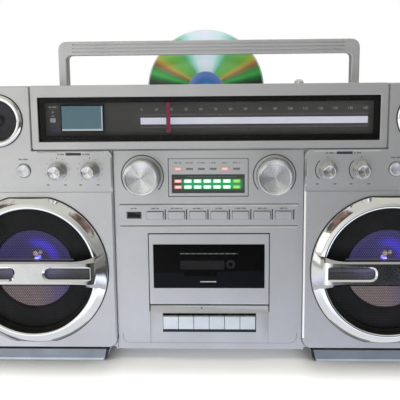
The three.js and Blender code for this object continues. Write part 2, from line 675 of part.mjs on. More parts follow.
// The origin is at the middle of the base: half way between the small knobs' faces and the back panel.
player.position.y = -(DEPTH - PROUD) / 2;

export default player;
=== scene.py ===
"""Looks for the portable stereo cassette player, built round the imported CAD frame.

Sizes in this file are millimetres in the part's own frame: y = 0 is the front of the speaker panels.
"""

import json
import math

import bmesh
import bpy
from mathutils import Matrix, Vector

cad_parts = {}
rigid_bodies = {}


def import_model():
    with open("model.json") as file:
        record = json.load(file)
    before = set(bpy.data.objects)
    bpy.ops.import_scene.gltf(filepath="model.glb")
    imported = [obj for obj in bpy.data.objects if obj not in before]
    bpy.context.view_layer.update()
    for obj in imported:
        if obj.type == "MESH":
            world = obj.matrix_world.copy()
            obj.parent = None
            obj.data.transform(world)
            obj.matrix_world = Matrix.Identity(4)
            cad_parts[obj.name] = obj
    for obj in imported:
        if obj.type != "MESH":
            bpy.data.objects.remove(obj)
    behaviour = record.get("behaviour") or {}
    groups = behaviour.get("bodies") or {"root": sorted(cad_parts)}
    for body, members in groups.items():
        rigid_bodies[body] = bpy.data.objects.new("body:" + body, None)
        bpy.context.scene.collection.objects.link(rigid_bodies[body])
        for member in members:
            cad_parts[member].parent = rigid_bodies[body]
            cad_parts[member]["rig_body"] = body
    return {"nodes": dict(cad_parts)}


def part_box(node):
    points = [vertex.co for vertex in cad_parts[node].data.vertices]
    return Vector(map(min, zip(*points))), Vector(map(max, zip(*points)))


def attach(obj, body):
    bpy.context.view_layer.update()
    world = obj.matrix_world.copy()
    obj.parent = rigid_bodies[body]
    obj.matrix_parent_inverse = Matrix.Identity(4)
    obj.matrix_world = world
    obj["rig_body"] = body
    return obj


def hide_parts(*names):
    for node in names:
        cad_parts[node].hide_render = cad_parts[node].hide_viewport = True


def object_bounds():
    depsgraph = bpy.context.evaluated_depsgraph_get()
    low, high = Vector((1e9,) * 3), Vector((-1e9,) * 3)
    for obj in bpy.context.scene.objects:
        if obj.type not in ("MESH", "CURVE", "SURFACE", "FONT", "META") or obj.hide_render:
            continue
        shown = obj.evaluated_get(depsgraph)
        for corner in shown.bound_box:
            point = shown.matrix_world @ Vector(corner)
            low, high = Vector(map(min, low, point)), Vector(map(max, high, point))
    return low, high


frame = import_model()
CAD_BOX = [list(corner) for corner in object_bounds()]
NODES = frame["nodes"]
MM = 0.001
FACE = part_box("front_cabinet")[0].y / MM
SIDES = ("left", "right")
INK = 0.06  # thickness of the printing
LIFT = 0.005  # the printing stands this far off its surface
CENTRE_HALF = 88.8  # half width of the sunk centre section
CENTRE_FACE = 3.0  # the centre section lies this far behind the speaker panels
SMALL_KNOBS = ("bass_knob", "treble_knob", "balance_knob", "echo_knob")
BIG_KNOBS = ("volume_knob", "tuning_knob")
BUTTONS = tuple(name + "_button" for name in
                ("mode", "play", "stop", "skip_back", "skip_forward", "program", "repeat"))
KEYS = tuple(name + "_key" for name in
             ("pause", "stop_eject", "fast_forward", "rewind", "play", "record"))


def at(x, y, z):
    """A point of the part's own frame, in metres in the row frame."""
    return Vector((x, y + FACE, z)) * MM


def span(node):
    """Lowest and highest corner of a CAD node, in the part's own frame."""
    low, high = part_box(node)
    return Vector((low.x, low.y - FACE * MM, low.z)) / MM, Vector((high.x, high.y - FACE * MM, high.z)) / MM


def middle(node):
    low, high = span(node)
    return (low + high) / 2


# ---------------------------------------------------------------- camera and studio

camera = bpy.data.objects.new("camera", bpy.data.cameras.new("camera"))
bpy.context.collection.objects.link(camera)
camera.data.lens = 63.5
camera.data.sensor_width = 36
camera.data.clip_end = 50
camera.matrix_world = (
    Matrix.Translation((0.0172, -0.7131, 0.2664))
    @ Matrix.Rotation(math.radians(2.21), 4, "Z")
    @ Matrix.Rotation(math.radians(80.38), 4, "X")
    @ Matrix.Rotation(math.radians(-0.55), 4, "Z")
)
bpy.context.scene.camera = camera
bpy.context.scene.view_settings.view_transform = "Standard"


# ---------------------------------------------------------------- node tools


class Graph:
    """A node tree with short calls for the nodes that the materials share."""

    def __init__(self, tree):
        self.tree = tree

    def link(self, value, socket):
        if isinstance(value, bpy.types.NodeSocket):
            self.tree.links.new(value, socket)
        elif hasattr(value, "__len__") and len(value) == 3 and socket.type == "RGBA":
            socket.default_value = (*value, 1)
        else:
            socket.default_value = value

    def node(self, kind, props=None, out=0, **inputs):
        made = self.tree.nodes.new("ShaderNode" + kind)
        for key, value in (props or {}).items():
            setattr(made, key, value)
        self.give(made, **inputs)
        return made.outputs[out]

    def give(self, made, **inputs):
        """Links or sets a node's inputs. A blank in an input's name is written as _."""
        for key, value in inputs.items():
            self.link(value, made.inputs[key.replace("_", " ")])

    def math(self, operation, *values):
        made = self.tree.nodes.new("ShaderNodeMath")
        made.operation = operation
        for value, socket in zip(values, made.inputs):
            self.link(value, socket)
        return made.outputs[0]

    def plus(self, first, second):
        return self.math("ADD", first, second)

    def minus(self, first, second):
        return self.math("SUBTRACT", first, second)

    def times(self, first, second):
        return self.math("MULTIPLY", first, second)

    def gap(self, first, second):
        return self.math("ABSOLUTE", self.minus(first, second))

    def length(self, across, up):
        return self.math("SQRT", self.plus(self.times(across, across), self.times(up, up)))

    def noise(self, scale, detail=2):
        return self.node("TexNoise", Vector=self.node("TexCoord", out=3), Scale=scale, Detail=detail)

    def bump(self, height, strength, distance=0.0003):
        return self.node("Bump", Strength=strength, Distance=distance, Height=height)

    def mix(self, share, first, second, blend="MIX"):
        made = self.tree.nodes.new("ShaderNodeMix")
        made.data_type = "RGBA"
        made.blend_type = blend
        for value, index in ((share, 0), (first, 6), (second, 7)):
            self.link(value, made.inputs[index])
        return made.outputs[2]

    def remap(self, value, low, high, to_low=0.0, to_high=1.0, smooth=False):
        kind = {"interpolation_type": "SMOOTHSTEP" if smooth else "LINEAR"}
        return self.node("MapRange", kind, Value=value, From_Min=low, From_Max=high, To_Min=to_low,
                         To_Max=to_high)

    def ramp(self, value, stops, mode="LINEAR"):
        made = self.tree.nodes.new("ShaderNodeValToRGB")
        made.color_ramp.interpolation = mode
        elements = made.color_ramp.elements
        while len(elements) < len(stops):
            elements.new(0.5)
        for element, (place, colour) in zip(elements, stops):
            element.position = place
            element.color = (*colour, 1)
        self.link(value, made.inputs[0])
        return made.outputs[0]

    def axes(self, source="Object"):
        coords = self.tree.nodes.new("ShaderNodeTexCoord").outputs[source]
        parts = self.tree.nodes.new("ShaderNodeSeparateXYZ")
        self.tree.links.new(coords, parts.inputs[0])
        return parts.outputs


def blank(name):
    made = bpy.data.materials.new(name)
    made.use_nodes = True
    graph = Graph(made.node_tree)
    shader = made.node_tree.nodes["Principled BSDF"]
    return made, graph, shader


def surface(name, light, dark, rough, patch, grain, bump, stretch=(1, 1, 1), scratch=0.0, **fixed):
    """A finish with broad and fine grain in its colour, roughness and bump, and light scratches."""
    made, g, shader = blank(name)
    coords = g.node("TexCoord", out=3)
    place = g.node("Mapping", Vector=coords, Scale=stretch)
    broad = g.node("TexNoise", Vector=place, Scale=patch, Detail=4)
    fine = g.node("TexNoise", Vector=place, Scale=grain, Detail=2)
    share = g.plus(g.times(broad, 0.6), g.times(fine, 0.4))
    rough_now = g.remap(share, 0.35, 0.65, rough[1], rough[0])
    if scratch:
        long = g.node("Mapping", Vector=coords, Scale=(260, 900, 2600), Rotation=(0.2, 0.5, 0.1))
        lines = g.remap(g.node("TexNoise", Vector=long, Scale=1.0, Detail=1), 0.69, 0.76)
        rough_now = g.plus(rough_now, g.times(lines, scratch))
    g.give(shader, Base_Color=g.mix(g.remap(share, 0.35, 0.65), dark, light), Roughness=rough_now,
           Normal=g.bump(fine, bump, 0.0004), **fixed)
    return made


# ---------------------------------------------------------------- materials

silver = surface("silver", (0.60, 0.60, 0.59), (0.53, 0.53, 0.525), (0.30, 0.38), 22, 2600, 0.05,
                 scratch=0.06, Metallic=0.82)
chrome = surface("chrome", (0.86, 0.86, 0.84), (0.80, 0.80, 0.78), (0.025, 0.07), 60, 900, 0.004,
                 scratch=0.05, Metallic=1.0)
bar_chrome = surface("bar_chrome", (0.58, 0.58, 0.57), (0.52, 0.52, 0.51), (0.10, 0.16), 60, 900, 0.01,
                     scratch=0.08, Metallic=1.0)
key_finish = surface("key_finish", (0.77, 0.81, 0.83), (0.67, 0.71, 0.73), (0.3, 0.4), 60, 2400, 0.03,
                     scratch=0.08, Metallic=0.7)
black = surface("black", (0.020, 0.020, 0.022), (0.010, 0.010, 0.011), (0.42, 0.6), 40, 1500, 0.12)
gloss_black = surface("gloss_black", (0.010, 0.008, 0.008), (0.006, 0.005, 0.005), (0.12, 0.25), 40, 1500, 0.02,
                      Specular_IOR_Level=0.25)
grille_paint = surface("grille_paint", (0.010, 0.010, 0.010), (0.005, 0.005, 0.005), (0.6, 0.8), 90, 2200, 0.06,
                       Specular_IOR_Level=0.3)
dial_print = surface("dial_print", (0.080, 0.078, 0.076), (0.070, 0.068, 0.066), (0.55, 0.7), 30, 1400, 0.02,
                     Emission_Color=(0.5, 0.5, 0.5, 1), Emission_Strength=0.018)
clear = surface("clear", (0.006, 0.006, 0.006), (0.004, 0.004, 0.004), (0.02, 0.05), 30, 500, 0.002,
                scratch=0.05, Alpha=0.14, Specular_IOR_Level=0.2)
smoked = surface("smoked", (0.0035, 0.0035, 0.004), (0.002, 0.002, 0.0025), (0.03, 0.07), 30, 500, 0.002,
                 scratch=0.08, Alpha=0.93, Specular_IOR_Level=0.10)
steel = surface("steel", (0.50, 0.50, 0.50), (0.36, 0.36, 0.37), (0.28, 0.45), 60, 900, 0.05,
                stretch=(1, 1, 8), scratch=0.1, Metallic=1.0)
board_green = surface("board_green", (0.02, 0.13, 0.06), (0.012, 0.08, 0.04), (0.35, 0.55), 160, 1100, 0.06)
iron = surface("iron", (0.24, 0.15, 0.09), (0.15, 0.09, 0.055), (0.4, 0.6), 120, 900, 0.1, Metallic=0.5)
cone_paper = surface("cone_paper", (0.030, 0.030, 0.032), (0.018, 0.018, 0.020), (0.5, 0.75), 120, 2500, 0.1)
ink_dark = surface("ink_dark", (0.055, 0.055, 0.06), (0.035, 0.035, 0.04), (0.5, 0.65), 400, 3000, 0.03)
# Painted highlight: a paler silver for the up-facing slanted faces of the cabinet's lips.
lip_highlight = surface("lip_highlight", (0.85, 0.85, 0.84), (0.78, 0.78, 0.77), (0.3, 0.4), 60, 2400, 0.02,
                      scratch=0.05, Metallic=0.15)
# Painted shade: a dark grey laid in the cabinet's seams and groove floors, where shade falls.
seam_shade = surface("seam_shade", (0.17, 0.17, 0.175), (0.12, 0.12, 0.125), (0.5, 0.7), 300, 2500, 0.05)
# Painted shade: a darker, bluish copy of the silver for the feet, whose fronts lie in the cabinet's shadow.
skid_metal_shaded = surface("skid_metal_shaded", (0.29, 0.32, 0.335), (0.24, 0.265, 0.28), (0.28, 0.4), 40, 2200, 0.05,
                     scratch=0.1, Metallic=0.85)
# Painted reflection: a paler, bluish copy of the feet's silver for their rounded bottom edge, which mirrors the
# bright floor.
skid_lip_sheen = surface("skid_lip_sheen", (0.56, 0.61, 0.62), (0.50, 0.55, 0.56), (0.25, 0.4), 40, 2200, 0.05, scratch=0.1,
                   Metallic=0.85)
ink_badge = surface("ink_badge", (0.030, 0.032, 0.060), (0.018, 0.019, 0.040), (0.35, 0.5), 400, 3000, 0.03)
ink_light = surface("ink_light", (0.62, 0.62, 0.64), (0.48, 0.48, 0.50), (0.5, 0.65), 400, 3000, 0.03)
ink_grey = surface("ink_grey", (0.17, 0.17, 0.18), (0.12, 0.12, 0.125), (0.5, 0.65), 400, 3000, 0.03)
ink_faint = surface("ink_faint", (0.014, 0.014, 0.015), (0.008, 0.008, 0.009), (0.3, 0.4), 300, 3000, 0.03,
                    Specular_IOR_Level=0.15)
ink_navy = surface("ink_navy", (0.0050, 0.0055, 0.0095), (0.0035, 0.004, 0.007), (0.12, 0.2), 60, 1500, 0.01,
                   Specular_IOR_Level=0.12)
ink_purple = surface("ink_purple", (0.07, 0.05, 0.26), (0.05, 0.035, 0.18), (0.5, 0.65), 400, 3000, 0.03)
lavender = surface("lavender", (0.66, 0.67, 0.80), (0.60, 0.61, 0.75), (0.4, 0.55), 60, 1800, 0.02,
                   Emission_Color=(0.62, 0.64, 0.72, 1), Emission_Strength=0.56)
pointer_red = surface("pointer_red", (0.46, 0.016, 0.085), (0.37, 0.012, 0.07), (0.25, 0.4), 200, 1600, 0.02)
pointer_pale = surface("pointer_pale", (0.25, 0.12, 0.16), (0.19, 0.09, 0.12), (0.15, 0.3), 200, 1600, 0.02)
lcd_rim = surface("lcd_rim", (0.60, 0.68, 0.73), (0.52, 0.60, 0.65), (0.15, 0.25), 120, 900, 0.01,
                  Emission_Color=(0.60, 0.70, 0.76, 1), Emission_Strength=0.22)
ledge_grey = surface("ledge_grey", (0.30, 0.29, 0.36), (0.24, 0.23, 0.30), (0.3, 0.5), 120, 900, 0.02)


def spun_metal(name, tint, rough, contrast=0.28, shade=0.62):
    """Turned aluminium: fine rings round the piece's middle, with the broad streaks that they reflect painted
    into the colour by angle, a painted reflection.
    """
    made, g, shader = blank(name)
    x, _, z = g.axes("Generated")[:3]
    across, up = g.minus(x, 0.5), g.minus(z, 0.5)
    radius = g.length(across, up)
    # two and five make lighter and darker wedges by angle round the middle: painted reflection, mixed into the
    # colour with the real grain.
    angle = g.math("ARCTAN2", across, up)
    two = g.math("SINE", g.plus(g.times(angle, 2.0), 2.2))
    five = g.math("SINE", g.plus(g.times(angle, 5.0), 0.7))
    wedge = g.plus(two, g.times(five, 0.45))
    polar = g.node("CombineXYZ", X=g.times(radius, 220.0), Y=angle)
    grain = g.node("TexNoise", {"noise_dimensions": "2D"}, Vector=polar, Scale=1.5, Detail=3)
    share = g.plus(g.times(wedge, contrast), g.times(grain, 0.5))
    g.give(shader, Base_Color=g.mix(g.remap(share, -0.2, 0.75), [c * shade for c in tint], tint),
           Roughness=g.remap(grain, 0.3, 0.7, *rough), Metallic=1.0, Anisotropic=0.7,
           Normal=g.bump(g.math("SINE", g.times(radius, 420.0)), 0.12, 0.0001),
           Tangent=g.node("Tangent", {"direction_type": "RADIAL", "axis": "Y"}))
    return made


spun = spun_metal("spun", (0.90, 0.90, 0.87), (0.18, 0.3), 0.40, 0.52)
turned_chrome = spun_metal("turned_chrome", (0.95, 0.95, 0.92), (0.10, 0.2), 0.42, 0.45)
satin_button = spun_metal("satin_button", (0.86, 0.86, 0.86), (0.25, 0.38))


def glowing(name, edge, core, strength, base=(0.02, 0.02, 0.02)):
    """A lit lens: its middle is paler and brighter than its edges."""
    made, g, shader = blank(name)
    x, _, z = g.axes("Generated")[:3]
    edge_share = g.remap(g.math("MAXIMUM", g.gap(x, 0.5), g.gap(z, 0.5)), 0.2, 0.5, smooth=True)
    ripple = g.noise(1500.0)
    g.give(shader, Emission_Color=g.mix(edge_share, core, edge), Emission_Strength=strength,
           Base_Color=g.mix(ripple, base, [c * 1.6 for c in base]),
           Roughness=g.remap(ripple, 0.3, 0.7, 0.12, 0.25))
    return made


led_red = glowing("led_red", (0.80, 0.16, 0.14), (1.0, 0.70, 0.64), 1.0)
led_green = glowing("led_green", (0.14, 0.75, 0.34), (1.0, 1.0, 1.0), 1.5)
led_lime = glowing("led_lime", (0.12, 0.55, 0.05), (0.42, 0.92, 0.16), 0.9)
lamp_pink = glowing("lamp_pink", (0.72, 0.22, 0.20), (1.0, 0.70, 0.66), 0.85)
blue_lamp = glowing("blue_lamp", (0.12, 0.09, 0.9), (0.55, 0.55, 1.0), 2.4)
warm_glint = glowing("warm_glint", (0.40, 0.30, 0.26), (0.66, 0.56, 0.46), 0.8)


def lit_lcd():
    """The display's blue-grey glass, faintly lit and empty."""
    made, g, shader = blank("lcd")
    weave, shade = g.noise(900.0), g.noise(25.0)
    g.give(shader, Base_Color=g.mix(g.times(weave, shade), (0.072, 0.125, 0.155), (0.125, 0.215, 0.262)),
           Emission_Color=g.mix(shade, (0.085, 0.16, 0.195), (0.11, 0.19, 0.235)), Emission_Strength=0.55,
           Roughness=g.remap(weave, 0.3, 0.7, 0.18, 0.3), Normal=g.bump(weave, 0.02, 0.0002))
    return made


lcd = lit_lcd()


def meter_glow():
    """The plate behind the level lamps, which spill green light along their two rows."""
    made, g, shader = blank("meter_glow")
    x, _, z = g.axes("Generated")[:3]
    rows = g.remap(g.gap(z, 0.48), 0.14, 0.36, 1, 0, smooth=True)
    reach = g.times(g.remap(x, 0.10, 0.2), g.remap(x, 0.92, 1.0, 1, 0))
    grain = g.noise(900.0)
    g.give(shader, Base_Color=g.mix(grain, (0.012, 0.014, 0.013), (0.03, 0.034, 0.032)),
           Emission_Color=g.mix(g.times(rows, reach), (0.012, 0.016, 0.014), (0.02, 0.28, 0.10)),
           Emission_Strength=1.0, Roughness=g.remap(grain, 0.3, 0.7, 0.3, 0.5))
    return made


def offsets(g, node):
    """How far a point lies to the right of a CAD node's middle and above it, in metres."""
    centre = middle(node)
    x, _, z = g.axes()[:3]
    return g.minus(x, centre.x * MM), g.minus(z, centre.z * MM)


def lit_cone(side):
    """The woofer's cone, lit from a lamp at its middle: violet over the bar and rosy grey below it."""
    made, g, shader = blank("lit_cone_" + side)
    across, up = offsets(g, "woofer_driver_" + side)
    lift = g.minus(up, 0.0066)
    from_lamp = g.length(across, lift)
    swoosh = g.remap(g.gap(from_lamp, 0.0175), 0.0, 0.009, 1.0, 0.0, smooth=True)
    facing = g.math("DIVIDE", g.plus(g.times(across, 0.62), g.times(lift, 0.78)), from_lamp)
    glow = g.times(swoosh, g.remap(facing, 0.3, 0.95, smooth=True))
    grain = g.noise(240.0, 3)
    rings = g.times(g.plus(g.math("SINE", g.times(g.length(across, up), 3600.0)), 1.0), 0.5)
    near = g.remap(from_lamp, 0.004, 0.016, 0.0, 1.0, smooth=True)
    violet = g.mix(glow, g.mix(near, (0.066, 0.054, 0.105), (0.060, 0.052, 0.18)), (0.10, 0.070, 0.85))
    rosy = g.mix(g.remap(across, 0.002, 0.03), (0.26, 0.20, 0.205), (0.12, 0.10, 0.27))
    colour = g.mix(g.remap(up, -0.016, 0.004, smooth=True), rosy, violet)
    colour = g.mix(g.times(g.times(grain, rings), 0.35), colour, (0.05, 0.05, 0.07))
    g.give(shader, Emission_Color=colour, Emission_Strength=0.95,
           Base_Color=g.mix(grain, (0.03, 0.03, 0.035), (0.06, 0.06, 0.07)),
           Roughness=g.remap(grain, 0.3, 0.7, 0.35, 0.5), Normal=g.bump(rings, 0.2))
    return made


def slot_glow(side):
    """The hollow behind a slot in a woofer's bar: smoky metal with violet light near the middle."""
    made, g, shader = blank("slot_glow_" + side)
    across, up = offsets(g, "woofer_driver_" + side)
    band_share = g.remap(g.gap(up, 0.001), 0.001, 0.0062, 1.0, 0.5, smooth=True)
    drawn = g.node("Mapping", Vector=g.node("TexCoord", out=3), Scale=(1, 1, 9))
    grain = g.node("TexNoise", Vector=drawn, Scale=90.0)
    tint = g.mix(g.remap(g.math("ABSOLUTE", across), 0.016, 0.046, smooth=True), (0.070, 0.064, 0.125),
                 (0.020, 0.020, 0.022))
    g.give(shader, Emission_Color=g.mix(band_share, (0.01, 0.01, 0.012), tint), Emission_Strength=0.85,
           Base_Color=g.mix(grain, (0.025, 0.025, 0.028), (0.07, 0.07, 0.073)), Metallic=0.6,
           Roughness=g.remap(grain, 0.3, 0.7, 0.18, 0.32), Normal=g.bump(grain, 0.05))
    return made


def rainbow_disc():
    """The disc's recorded side: wedges of colour by angle, mirrored left and right, a painted reflection of the
    rainbow that its tracks throw, and a blue hub. The colour is also given as emission, so the disc glows a
    little: painted light.
    """
    made, g, shader = blank("rainbow_disc")
    across, up = offsets(g, "compact_disc")
    radius = g.length(across, up)
    swirl = g.noise(22.0)
    angle = g.plus(g.math("ABSOLUTE", g.math("ARCTAN2", across, up)), g.remap(swirl, 0, 1, -0.06, 0.06))
    turn = g.math("DIVIDE", angle, math.pi)
    # Painted reflection: the rainbow that the tracks throw back, fixed by angle.
    wedges = g.ramp(turn, [
        (0.0, (0.74, 0.78, 0.90)), (0.09, (0.62, 0.78, 0.80)), (0.14, (0.30, 0.62, 0.56)),
        (0.18, (0.13, 0.45, 0.15)), (0.285, (0.19, 0.42, 0.07)), (0.322, (0.44, 0.38, 0.07)),
        (0.348, (0.34, 0.15, 0.08)), (0.374, (0.06, 0.26, 0.06)), (0.405, (0.04, 0.38, 0.07)),
        (0.432, (0.008, 0.12, 0.02)), (0.46, (0.005, 0.02, 0.006)), (0.56, (0.02, 0.05, 0.10)),
        (0.75, (0.20, 0.18, 0.30)), (1.0, (0.55, 0.60, 0.70)),
    ])
    hub = g.ramp(g.remap(radius, 0.004, 0.0185), [
        (0.0, (0.03, 0.26, 0.50)), (0.25, (0.03, 0.22, 0.46)), (0.42, (0.04, 0.15, 0.42)),
        (0.90, (0.12, 0.20, 0.48)), (1.0, (0.34, 0.46, 0.60)),
    ])
    colour = g.mix(g.remap(radius, 0.0176, 0.0184), hub, wedges)
    colour = g.mix(g.times(g.math("GREATER_THAN", radius, 0.0586), 0.5), colour, (0.7, 0.75, 0.78))
    # Emission repeats the colour: painted light.
    g.give(shader, Base_Color=colour, Emission_Color=g.mix(0.5, colour, colour, "MULTIPLY"),
           Emission_Strength=0.35, Roughness=g.remap(swirl, 0.3, 0.7, 0.16, 0.26), Metallic=0.35,
           Coat_Weight=0.6, Coat_Roughness=0.04,
           Normal=g.bump(g.math("SINE", g.times(radius, 21000.0)), 0.03, 0.0001))
    return made


# ---------------------------------------------------------------- mesh tools


def rounded(points, radius, steps=5):
    """A closed outline with its corners rounded. The radius is one number, or one for each corner."""
    made = []
    count = len(points)
    for i, point in enumerate(points):
        size = radius[i] if hasattr(radius, "__len__") else radius
        corner = Vector(point)
        if size <= 0:
            made.append(tuple(corner))
            continue
        back = (Vector(points[i - 1]) - corner).normalized() * size
        ahead = (Vector(points[(i + 1) % count]) - corner).normalized() * size
        for step in range(steps + 1):
            t = step / steps
            made.append(tuple(corner + back * (1 - t) ** 2 + ahead * t ** 2))
    return made


def soft_profile(points, radius, steps=3):
    """An open profile of [radius, y] pairs with its inner corners rounded."""
    made = [points[0]]
    for before, point, after in zip(points, points[1:], points[2:]):
        corner = Vector(point)
        back = Vector(before) - corner
        ahead = Vector(after) - corner
        size = min(radius, back.length * 0.45, ahead.length * 0.45)
        for step in range(steps + 1):
            t = step / steps
            near = back.normalized() * size * (1 - t) ** 2
            made.append(tuple(corner + near + ahead.normalized() * size * t ** 2))
    return [*made, points[-1]]


def rectangle(x0, x1, z0, z1):
    return [(x0, z0), (x1, z0), (x1, z1), (x0, z1)]


def skin(bm, rings):
    """Joins rings that have the same number of points into a closed solid, with a cap at each end."""
    made = [[bm.verts.new(at(*spot)) for spot in ring] for ring in rings]
    bm.faces.new(made[0])
    bm.faces.new(made[-1][::-1])
    for near, far in zip(made, made[1:]):
        for i in range(len(near)):
            j = (i + 1) % len(near)
            bm.faces.new((near[i], far[i], far[j], near[j]))


def prism(bm, outline, y0, y1):
    """An outline in x and z given thickness from y0 to y1."""
    skin(bm, [[(x, y, z) for x, z in outline] for y in (y0, y1)])


def solid(draw, *shape, **kind):
    """A mesh of its own, drawn by one of the functions here."""
    bm = bmesh.new()
    draw(bm, *shape, **kind)
    return bm


def box(bm, x, y, z):
    prism(bm, rectangle(x[0], x[1], z[0], z[1]), y[0], y[1])


def along_y(a, along, b):
    return a, along, b


def lathe(bm, profile, x, z, segments=96, closed=False, lay=along_y):
    """Turns a profile of [radius, distance] pairs about a line, which is along y unless lay says otherwise."""
    rings = []
    for r, along in profile:
        spots = circle(x, z, r, segments)[:1 if r < 1e-6 else segments]
        rings.append([bm.verts.new(at(*lay(a, along, b))) for a, b in spots])
    pairs = list(zip(rings, rings[1:]))
    if closed:
        pairs.append((rings[-1], rings[0]))
    for first, second in pairs:
        for i in range(segments):
            j = (i + 1) % segments
            loop = [ring[k % len(ring)] for ring, k in ((first, i), (first, j), (second, j), (second, i))]
            corners = list(dict.fromkeys(loop))
            if len(corners) > 2:
                bm.faces.new(corners)


def bevel(bm, edges, width, segments):
    bmesh.ops.bevel(bm, geom=edges, offset=width * MM, offset_type="OFFSET", segments=segments, profile=0.5,
                    affect="EDGES", clamp_overlap=True)


def lies_at(edge, y):
    """Whether both ends of an edge lie in the plane at y."""
    return all(abs(end.co.y - at(0, y, 0).y) < 1e-5 for end in edge.verts)


def soften(bm, width, segments=2, angle=28):
    """Rounds every edge that is sharper than angle."""
    edges = [e for e in bm.edges if e.is_manifold and e.calc_face_angle(0) > math.radians(angle)]
    bevel(bm, edges, width, segments)


def mesh_of(name, bm, smooth=32):
    bmesh.ops.recalc_face_normals(bm, faces=bm.faces)
    mesh = bpy.data.meshes.new(name)
    bm.to_mesh(mesh)
    bm.free()
    mesh.polygons.foreach_set("use_smooth", [True] * len(mesh.polygons))
    mesh.set_sharp_from_angle(angle=math.radians(smooth))
    return mesh


def carve(bm, *cutters, operation="DIFFERENCE"):
    """Cuts closed meshes from a closed mesh."""
    target = bpy.data.objects.new("target", mesh_of("target", bm))
    bpy.context.collection.objects.link(target)
    tools = []
    for cutter in cutters:
        tool = bpy.data.objects.new("tool", mesh_of("tool", cutter))
        bpy.context.collection.objects.link(tool)
        step = target.modifiers.new("cut", "BOOLEAN")
        step.operation = operation
        step.solver = "EXACT"
        step.object = tool
        tools.append(tool)
    bpy.context.view_layer.update()
    result = bpy.data.meshes.new_from_object(target.evaluated_get(bpy.context.evaluated_depsgraph_get()))
    made = bmesh.new()
    made.from_mesh(result)
    for gone in (target, *tools):
        bpy.data.objects.remove(gone)
    bmesh.ops.remove_doubles(made, verts=made.verts, dist=1e-6)
    bmesh.ops.dissolve_limit(made, angle_limit=math.radians(0.5), verts=made.verts, edges=made.edges)
    return made


def piece(name, bm, material, body, slot, *replaced, smooth=32):
    made = bpy.data.objects.new(name, mesh_of(name, bm, smooth))
    bpy.context.collection.objects.link(made)
    made.data.materials.append(material)
    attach(made, body)
    if replaced:
        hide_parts(*replaced)
    return made


def even(made):
    """Keeps the shading of broad faces flat right up to their rounded edges."""
    made.modifiers.new("normals", "WEIGHTED_NORMAL").keep_sharp = True
    return made


def copy_of(node):
    """A CAD node's solid as a clean mesh to work on."""
    bm = bmesh.new()
    bm.from_mesh(NODES[node].data)
    bmesh.ops.remove_doubles(bm, verts=bm.verts, dist=2e-6)
    bmesh.ops.dissolve_limit(bm, angle_limit=math.radians(0.6), verts=bm.verts, edges=bm.edges)
    return bm


def band(bm, outer, inner, y0, y1):
    """A flat frame between two outlines that have the same number of points."""
    loops = [[bm.verts.new(at(x, y, z)) for x, z in outline]
             for outline, y in ((outer, y0), (outer, y1), (inner, y1), (inner, y0))]
    for i in range(len(outer)):
        for k in range(4):
            a, b = loops[k], loops[(k + 1) % 4]
            bm.faces.new((a[i - 1], a[i], b[i], b[i - 1]))


def circle(x, z, radius, count=64, start=0.0, turn=2 * math.pi):
    """Points on a circle, clockwise from the top. A part turn includes both of its ends."""
    last = count if turn >= 2 * math.pi else count - 1
    return [(x + radius * math.sin(start + turn * i / last), z + radius * math.cos(start + turn * i / last))
            for i in range(count)]


def quarter(steps):
    """Angles from nothing to a right angle."""
    return [math.pi / 2 * k / steps for k in range(steps + 1)]


def arc(bm, x, z, radius, width, start, end, y):
    """A printed arc. Angles are in degrees, clockwise from the top."""
    turn = math.radians(end - start)
    outer = circle(x, z, radius + width / 2, 40, math.radians(start), turn)
    inner = circle(x, z, radius - width / 2, 40, math.radians(start), turn)
    prism(bm, outer + inner[::-1], y - INK, y - LIFT)


def dash(bm, x0, x1, z, height, y):
    """A printed bar on the surface at y."""
    prism(bm, rectangle(x0, x1, z - height / 2, z + height / 2), y - INK, y - LIFT)


def word(bm, x0, x1, z, height, y, seed=1):
    """A row of little bars that stands in for a printed word."""
    x, i = x0, seed
    while x < x1:
        width = height * (0.35 + 0.25 * (i * 7 % 5) / 4)
        if i % 6 != 5:
            dash(bm, x, min(x + width, x1), z, height * (0.8 + 0.2 * (i % 2)), y)
        x += width + height * 0.22
        i += 1


def text(bm, words, x, y, z, size):
    """Raised printing of a number, with its middle at x, z."""
    curve = bpy.data.curves.new("number", "FONT")
    curve.body = words
    curve.size = size
    curve.align_x = curve.align_y = "CENTER"
    curve.extrude = INK / 2
    curve.resolution_u = 3
    made = bpy.data.objects.new("number", curve)
    bpy.context.collection.objects.link(made)
    bpy.context.view_layer.update()
    mesh = bpy.data.meshes.new_from_object(made.evaluated_get(bpy.context.evaluated_depsgraph_get()))
    bpy.data.objects.remove(made)
    mesh.transform(Matrix.Translation(at(x, y - INK / 2 - LIFT, z)) @ Matrix.Rotation(math.pi / 2, 4, "X")
                   @ Matrix.Scale(MM, 4))
    bm.from_mesh(mesh)


def body_of(node):
    return NODES[node]["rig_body"]


def refined(node, material, slot, width, segments=2, cutters=(), name=None, angle=28):
    """A CAD node with its edges rounded, after any further cuts."""
    bm = copy_of(node)
    if cutters:
        bm = carve(bm, *cutters)
    soften(bm, width, segments, angle)
    return even(piece(name or node + "_finished", bm, material, body_of(node), slot, node))


def dress(node, material):
    """A new finish on a CAD node that is shown as it is."""
    mesh = NODES[node].data
    mesh.materials.clear()
    mesh.materials.append(material)


# ---------------------------------------------------------------- world, floor and lights


